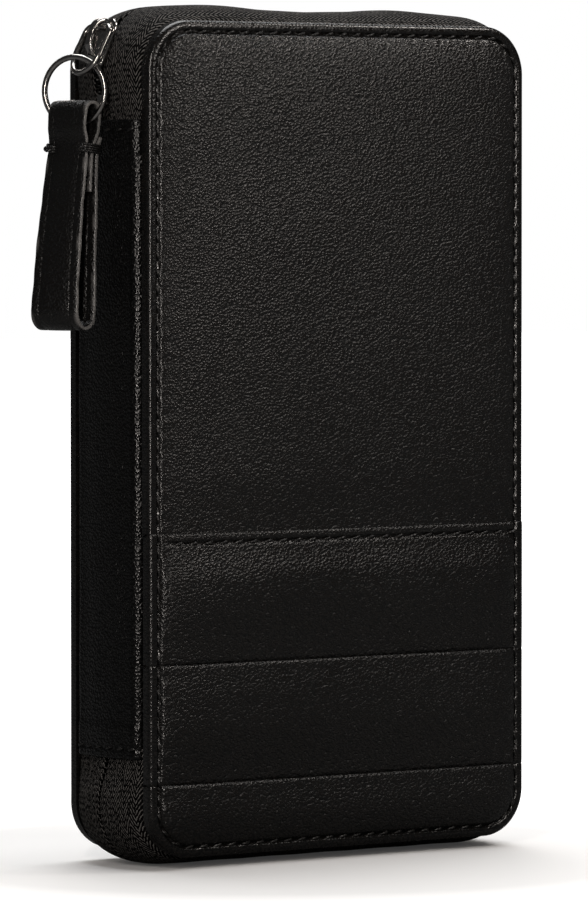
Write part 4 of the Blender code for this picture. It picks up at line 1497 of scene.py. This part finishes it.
def passportPocket():
    # a gusseted pocket, open at the top: its face, two sides and foot from one sheet
    low, high, mid, (halfX, _, halfZ) = roomOf("passport_pocket")
    wrap, across, along = 5, 46, 60

    def place(i, j):
        beside = np.clip(wrap - i, 0, wrap) + np.clip(i - (across - wrap), 0, wrap)
        under = np.clip(wrap - j, 0, wrap)
        u = np.clip((i - wrap) / (across - 2 * wrap), 0, 1) * 2 - 1
        v = np.clip((j - wrap) / (along - wrap), 0, 1) * 2 - 1
        depth = np.maximum(beside, under) / wrap * (high.y - low.y - 0.9 * mm)
        e = np.minimum(halfX * (1 - np.abs(u)), halfZ * (1 + v))
        soft = passport["soft"] * np.exp(-e / passport["softEdge"])
        pinch = passport["pinch"] * np.sin(depth / (high.y - low.y) * math.pi)
        x = u * (halfX - 0.1 * mm - pinch * (beside > 0))
        z = v * halfZ + pinch * (under > 0)
        return np.stack([mid.x + x, low.y + 0.1 * mm + soft + depth, mid.z + z], axis=1)

    piece = gridPiece("passportPocket", across, along, place)
    stretchUv(piece, 2 * halfX, 2 * halfZ)
    thicken(piece, passport["leather"])
    settle(piece, "back_half", pocketLeather, ["passport_pocket"])
    marks = stitchMarks(mid.x, halfX)
    spots = [Vector((x, low.y + 0.08 * mm, high.z - passport["hemStitch"])) for x in marks]
    sewLine("passportSeam", spots, (1, 0, 0), (0, -1, 0), "back_half")


def penLoop():
    # a band of cloth standing open, a little slack at its middle
    mid, (wide, deep, tall) = roomOf("pen_loop")[2:]
    share = np.linspace(-1, 1, 25)
    path = np.stack([mid.x + 0 * share, mid.y + 0 * share, mid.z + share * tall], axis=1)
    ring = softBarProfile(wide - 0.1 * mm, deep - 0.1 * mm, deep * 0.72, 6)
    profiles = np.repeat(ring[None], len(share), axis=0) * (0.965 + 0.03 * share ** 2)[:, None, None]
    sideways, upward = np.tile((1, 0, 0), (25, 1)), np.tile((0, 1, 0), (25, 1))
    piece = sweptPiece("penLoop", path, sideways, upward, profiles, fill=False)
    thicken(piece, 0.9 * mm)
    settle(piece, "back_half", liningCloth, ["pen_loop"])


def spineLining():
    mid, half = roomOf("spine_lining")[2:]
    halfY, halfZ = half[1:]
    across, along = 20, 90

    def place(i, j):
        y = (i / across * 2 - 1) * halfY
        z = (j / along * 2 - 1) * halfZ
        bow = 2 * mm * (1 - (y / case["innerDepth"]) ** 2)
        x = -case["halfWidth"] - bow + 2.9 * mm + 0.05 * mm * np.sin(z / (9 * mm))
        return np.stack([case["midX"] + x, mid.y + y, mid.z + z], axis=1)

    piece = gridPiece("spineLining", across, along, place)
    stretchUv(piece, 2 * halfY, 2 * halfZ)
    thicken(piece, 0.4 * mm)
    settle(piece, "spine", liningCloth, ["spine_lining"])


foldStrip = {
    "near": 12.4 * mm,
    "far": 16.0 * mm,
    "inside": -59.5 * mm,
    "step": 0.5 * mm,
    "bendFrom": 13.6 * mm,
    "bendTo": 15.5 * mm,
    "leather": 0.5 * mm,
}


def hingeStrip(name, sign):
    # thin leather inside each fold, from the spine's edge to the half's
    low, high = spine["low"] + 1 * mm + lowEdge, spine["high"] - 1 * mm + lowEdge
    near, far = foldStrip["near"], foldStrip["far"]
    across, along = 18, 90

    def place(i, j):
        y = near + (far - near) * i / across
        z = low + (high - low) * j / along
        ripple = 0.06 * mm * np.sin(z / (6 * mm))
        x = foldStrip["inside"] + ripple - foldStrip["step"] * smoothStep(14.4 * mm, 15.8 * mm, y)
        return stack(x, sign * y, z)

    piece = gridPiece(name, across, along, place)
    applied(piece, "SOLIDIFY", thickness=foldStrip["leather"], offset=0)
    closeUp(piece, fill=False)
    smoothOver(piece, 50)
    piece.data.materials.clear()
    piece.data.materials.append(pocketLeather)
    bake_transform(piece)


passportPocket()
penLoop()
spineLining()
hingeStrip("frontFoldStrip", -1)
hingeStrip("backFoldStrip", 1)
print("inside lined")


# carried-over frame nodes get their own finishes
keptFinishes = {
    "front_cover_foam": padFoam,
    "back_cover_foam": padFoam,
    "front_cover_board": greyBoard,
    "back_cover_board": greyBoard,
    "spine_board": greyBoard,
    "zip_stop_upper": gunmetalPlate,
}
for name, finish in keptFinishes.items():
    nodes[name].data.materials.clear()
    nodes[name].data.materials.append(finish)

bpy.data.objects.remove(masterStitch, do_unlink=True)


# floor, light and camera
studio = {
    "world": 0.04,
    "floor": 0.9,
    # the floor's glow is weakest near the case: a painted shadow round its base, white further off
    "glowNear": 0.03,
    "glowFar": 0.8,
    "glowFrom": 0.10,
    "glowTo": 0.20,
    "sun": 2.6,
    "sunWide": math.radians(50),
    "sunWay": (-0.22, -0.24, -1),
    "warm": (1.0, 0.93, 0.87),
}
lamps = {
    "key": {"place": (0.105, -0.28, 0.285), "aim": (-0.05, -0.02, 0.18), "size": (0.09, 0.09), "power": 0.22},
    "edge": {"place": (-0.50, -0.46, 0.29), "aim": (-0.05, 0, 0.12), "size": (0.035, 0.48), "power": 2.1},
    "rear": {"place": (0.45, 0.75, 0.35), "aim": (0, 0, 0.1), "size": (0.4, 0.4), "power": 1.6},
    "crest": {"place": (0.30, -0.20, 0.50), "aim": (0.01, -0.02, 0.07), "size": (0.08, 0.08), "power": 0.40},
}
view = {
    "lens": 249,
    "sensor": 36,
    "left": math.radians(36.6),
    "above": math.radians(2.2),
    "distance": 1.719,
    "aimUp": -7.35 * mm,
    "aimRight": -1.35 * mm,
}


def floorPiece():
    bpy.ops.object.select_all(action="DESELECT")
    bpy.ops.mesh.primitive_plane_add(size=12, location=(0, 0, -0.0002))
    floor = bpy.context.object
    floor.name = "studioFloor"
    finish, tree, shader = newFinish("floorPaper", (studio["floor"],) * 3, 0.9)
    shader.inputs["Specular IOR Level"].default_value = 0.1
    shader.inputs["Emission Color"].default_value = (1, 1, 1, 1)
    place = addNode(tree, "ShaderNodeTexCoord")
    away = addNode(tree, "ShaderNodeVectorMath", operation="LENGTH")
    wire(tree, place.outputs["Object"], away.inputs[0])
    # glow rising with distance from the case: painted shadow near it
    glow = rangeOf(tree, away.outputs["Value"], studio["glowFrom"], studio["glowTo"],
                   studio["glowNear"], studio["glowFar"])
    wire(tree, glow, shader.inputs["Emission Strength"])
    seen = addNode(tree, "ShaderNodeLightPath")
    plain = addNode(tree, "ShaderNodeBsdfDiffuse")
    plain.inputs["Color"].default_value = (0.12, 0.12, 0.12, 1)
    both = addNode(tree, "ShaderNodeMixShader")
    wire(tree, seen.outputs["Is Camera Ray"], both.inputs[0])
    wire(tree, plain.outputs[0], both.inputs[1])
    wire(tree, shader.outputs[0], both.inputs[2])
    wire(tree, both.outputs[0], tree.nodes["Material Output"].inputs["Surface"])
    floor.data.materials.append(finish)


def areaLight(name, place, aim, size, power):
    light = bpy.data.lights.new(name, "AREA")
    light.shape = "RECTANGLE"
    light.size, light.size_y = size
    light.energy = power
    light.color = studio["warm"]
    lamp = bpy.data.objects.new(name, light)
    bpy.context.collection.objects.link(lamp)
    lamp.location = place
    lamp.rotation_euler = (Vector(aim) - Vector(place)).to_track_quat("-Z", "Y").to_euler()


floorPiece()
world = bpy.data.worlds.new("studio")
bpy.context.scene.world = world
world.use_nodes = True
backdrop = world.node_tree.nodes["Background"]
backdrop.inputs["Color"].default_value = (1, 1, 1, 1)
rays = addNode(world.node_tree, "ShaderNodeLightPath")
wire(world.node_tree, rangeOf(world.node_tree, rays.outputs["Is Camera Ray"], 0, 1, studio["world"], 1.0),
     backdrop.inputs["Strength"])
for name, values in lamps.items():
    areaLight(name, **values)
sun = bpy.data.lights.new("overhead", "SUN")
sun.energy = studio["sun"]
sun.angle = studio["sunWide"]
sunObject = bpy.data.objects.new("overhead", sun)
bpy.context.collection.objects.link(sunObject)
sunObject.rotation_euler = Vector(studio["sunWay"]).to_track_quat("-Z", "Y").to_euler()

camera = bpy.data.cameras.new("view")
camera.lens = view["lens"]
camera.sensor_width = view["sensor"]
cameraObject = bpy.data.objects.new("view", camera)
bpy.context.collection.objects.link(cameraObject)
theta, lift = view["left"], view["above"]
toCamera = Vector((-math.sin(theta) * math.cos(lift), -math.cos(theta) * math.cos(lift), math.sin(lift)))
cameraRight = Vector((math.cos(theta), -math.sin(theta), 0))
target = caseMid + Vector((0, 0, view["aimUp"])) + view["aimRight"] * cameraRight
cameraObject.location = target + view["distance"] * toCamera
cameraObject.rotation_euler = (-toCamera).to_track_quat("-Z", "Y").to_euler()
camera.clip_start = 0.05
camera.clip_end = 30
bpy.context.scene.camera = cameraObject
bpy.context.scene.view_settings.view_transform = "Standard"

print("organizer ready")
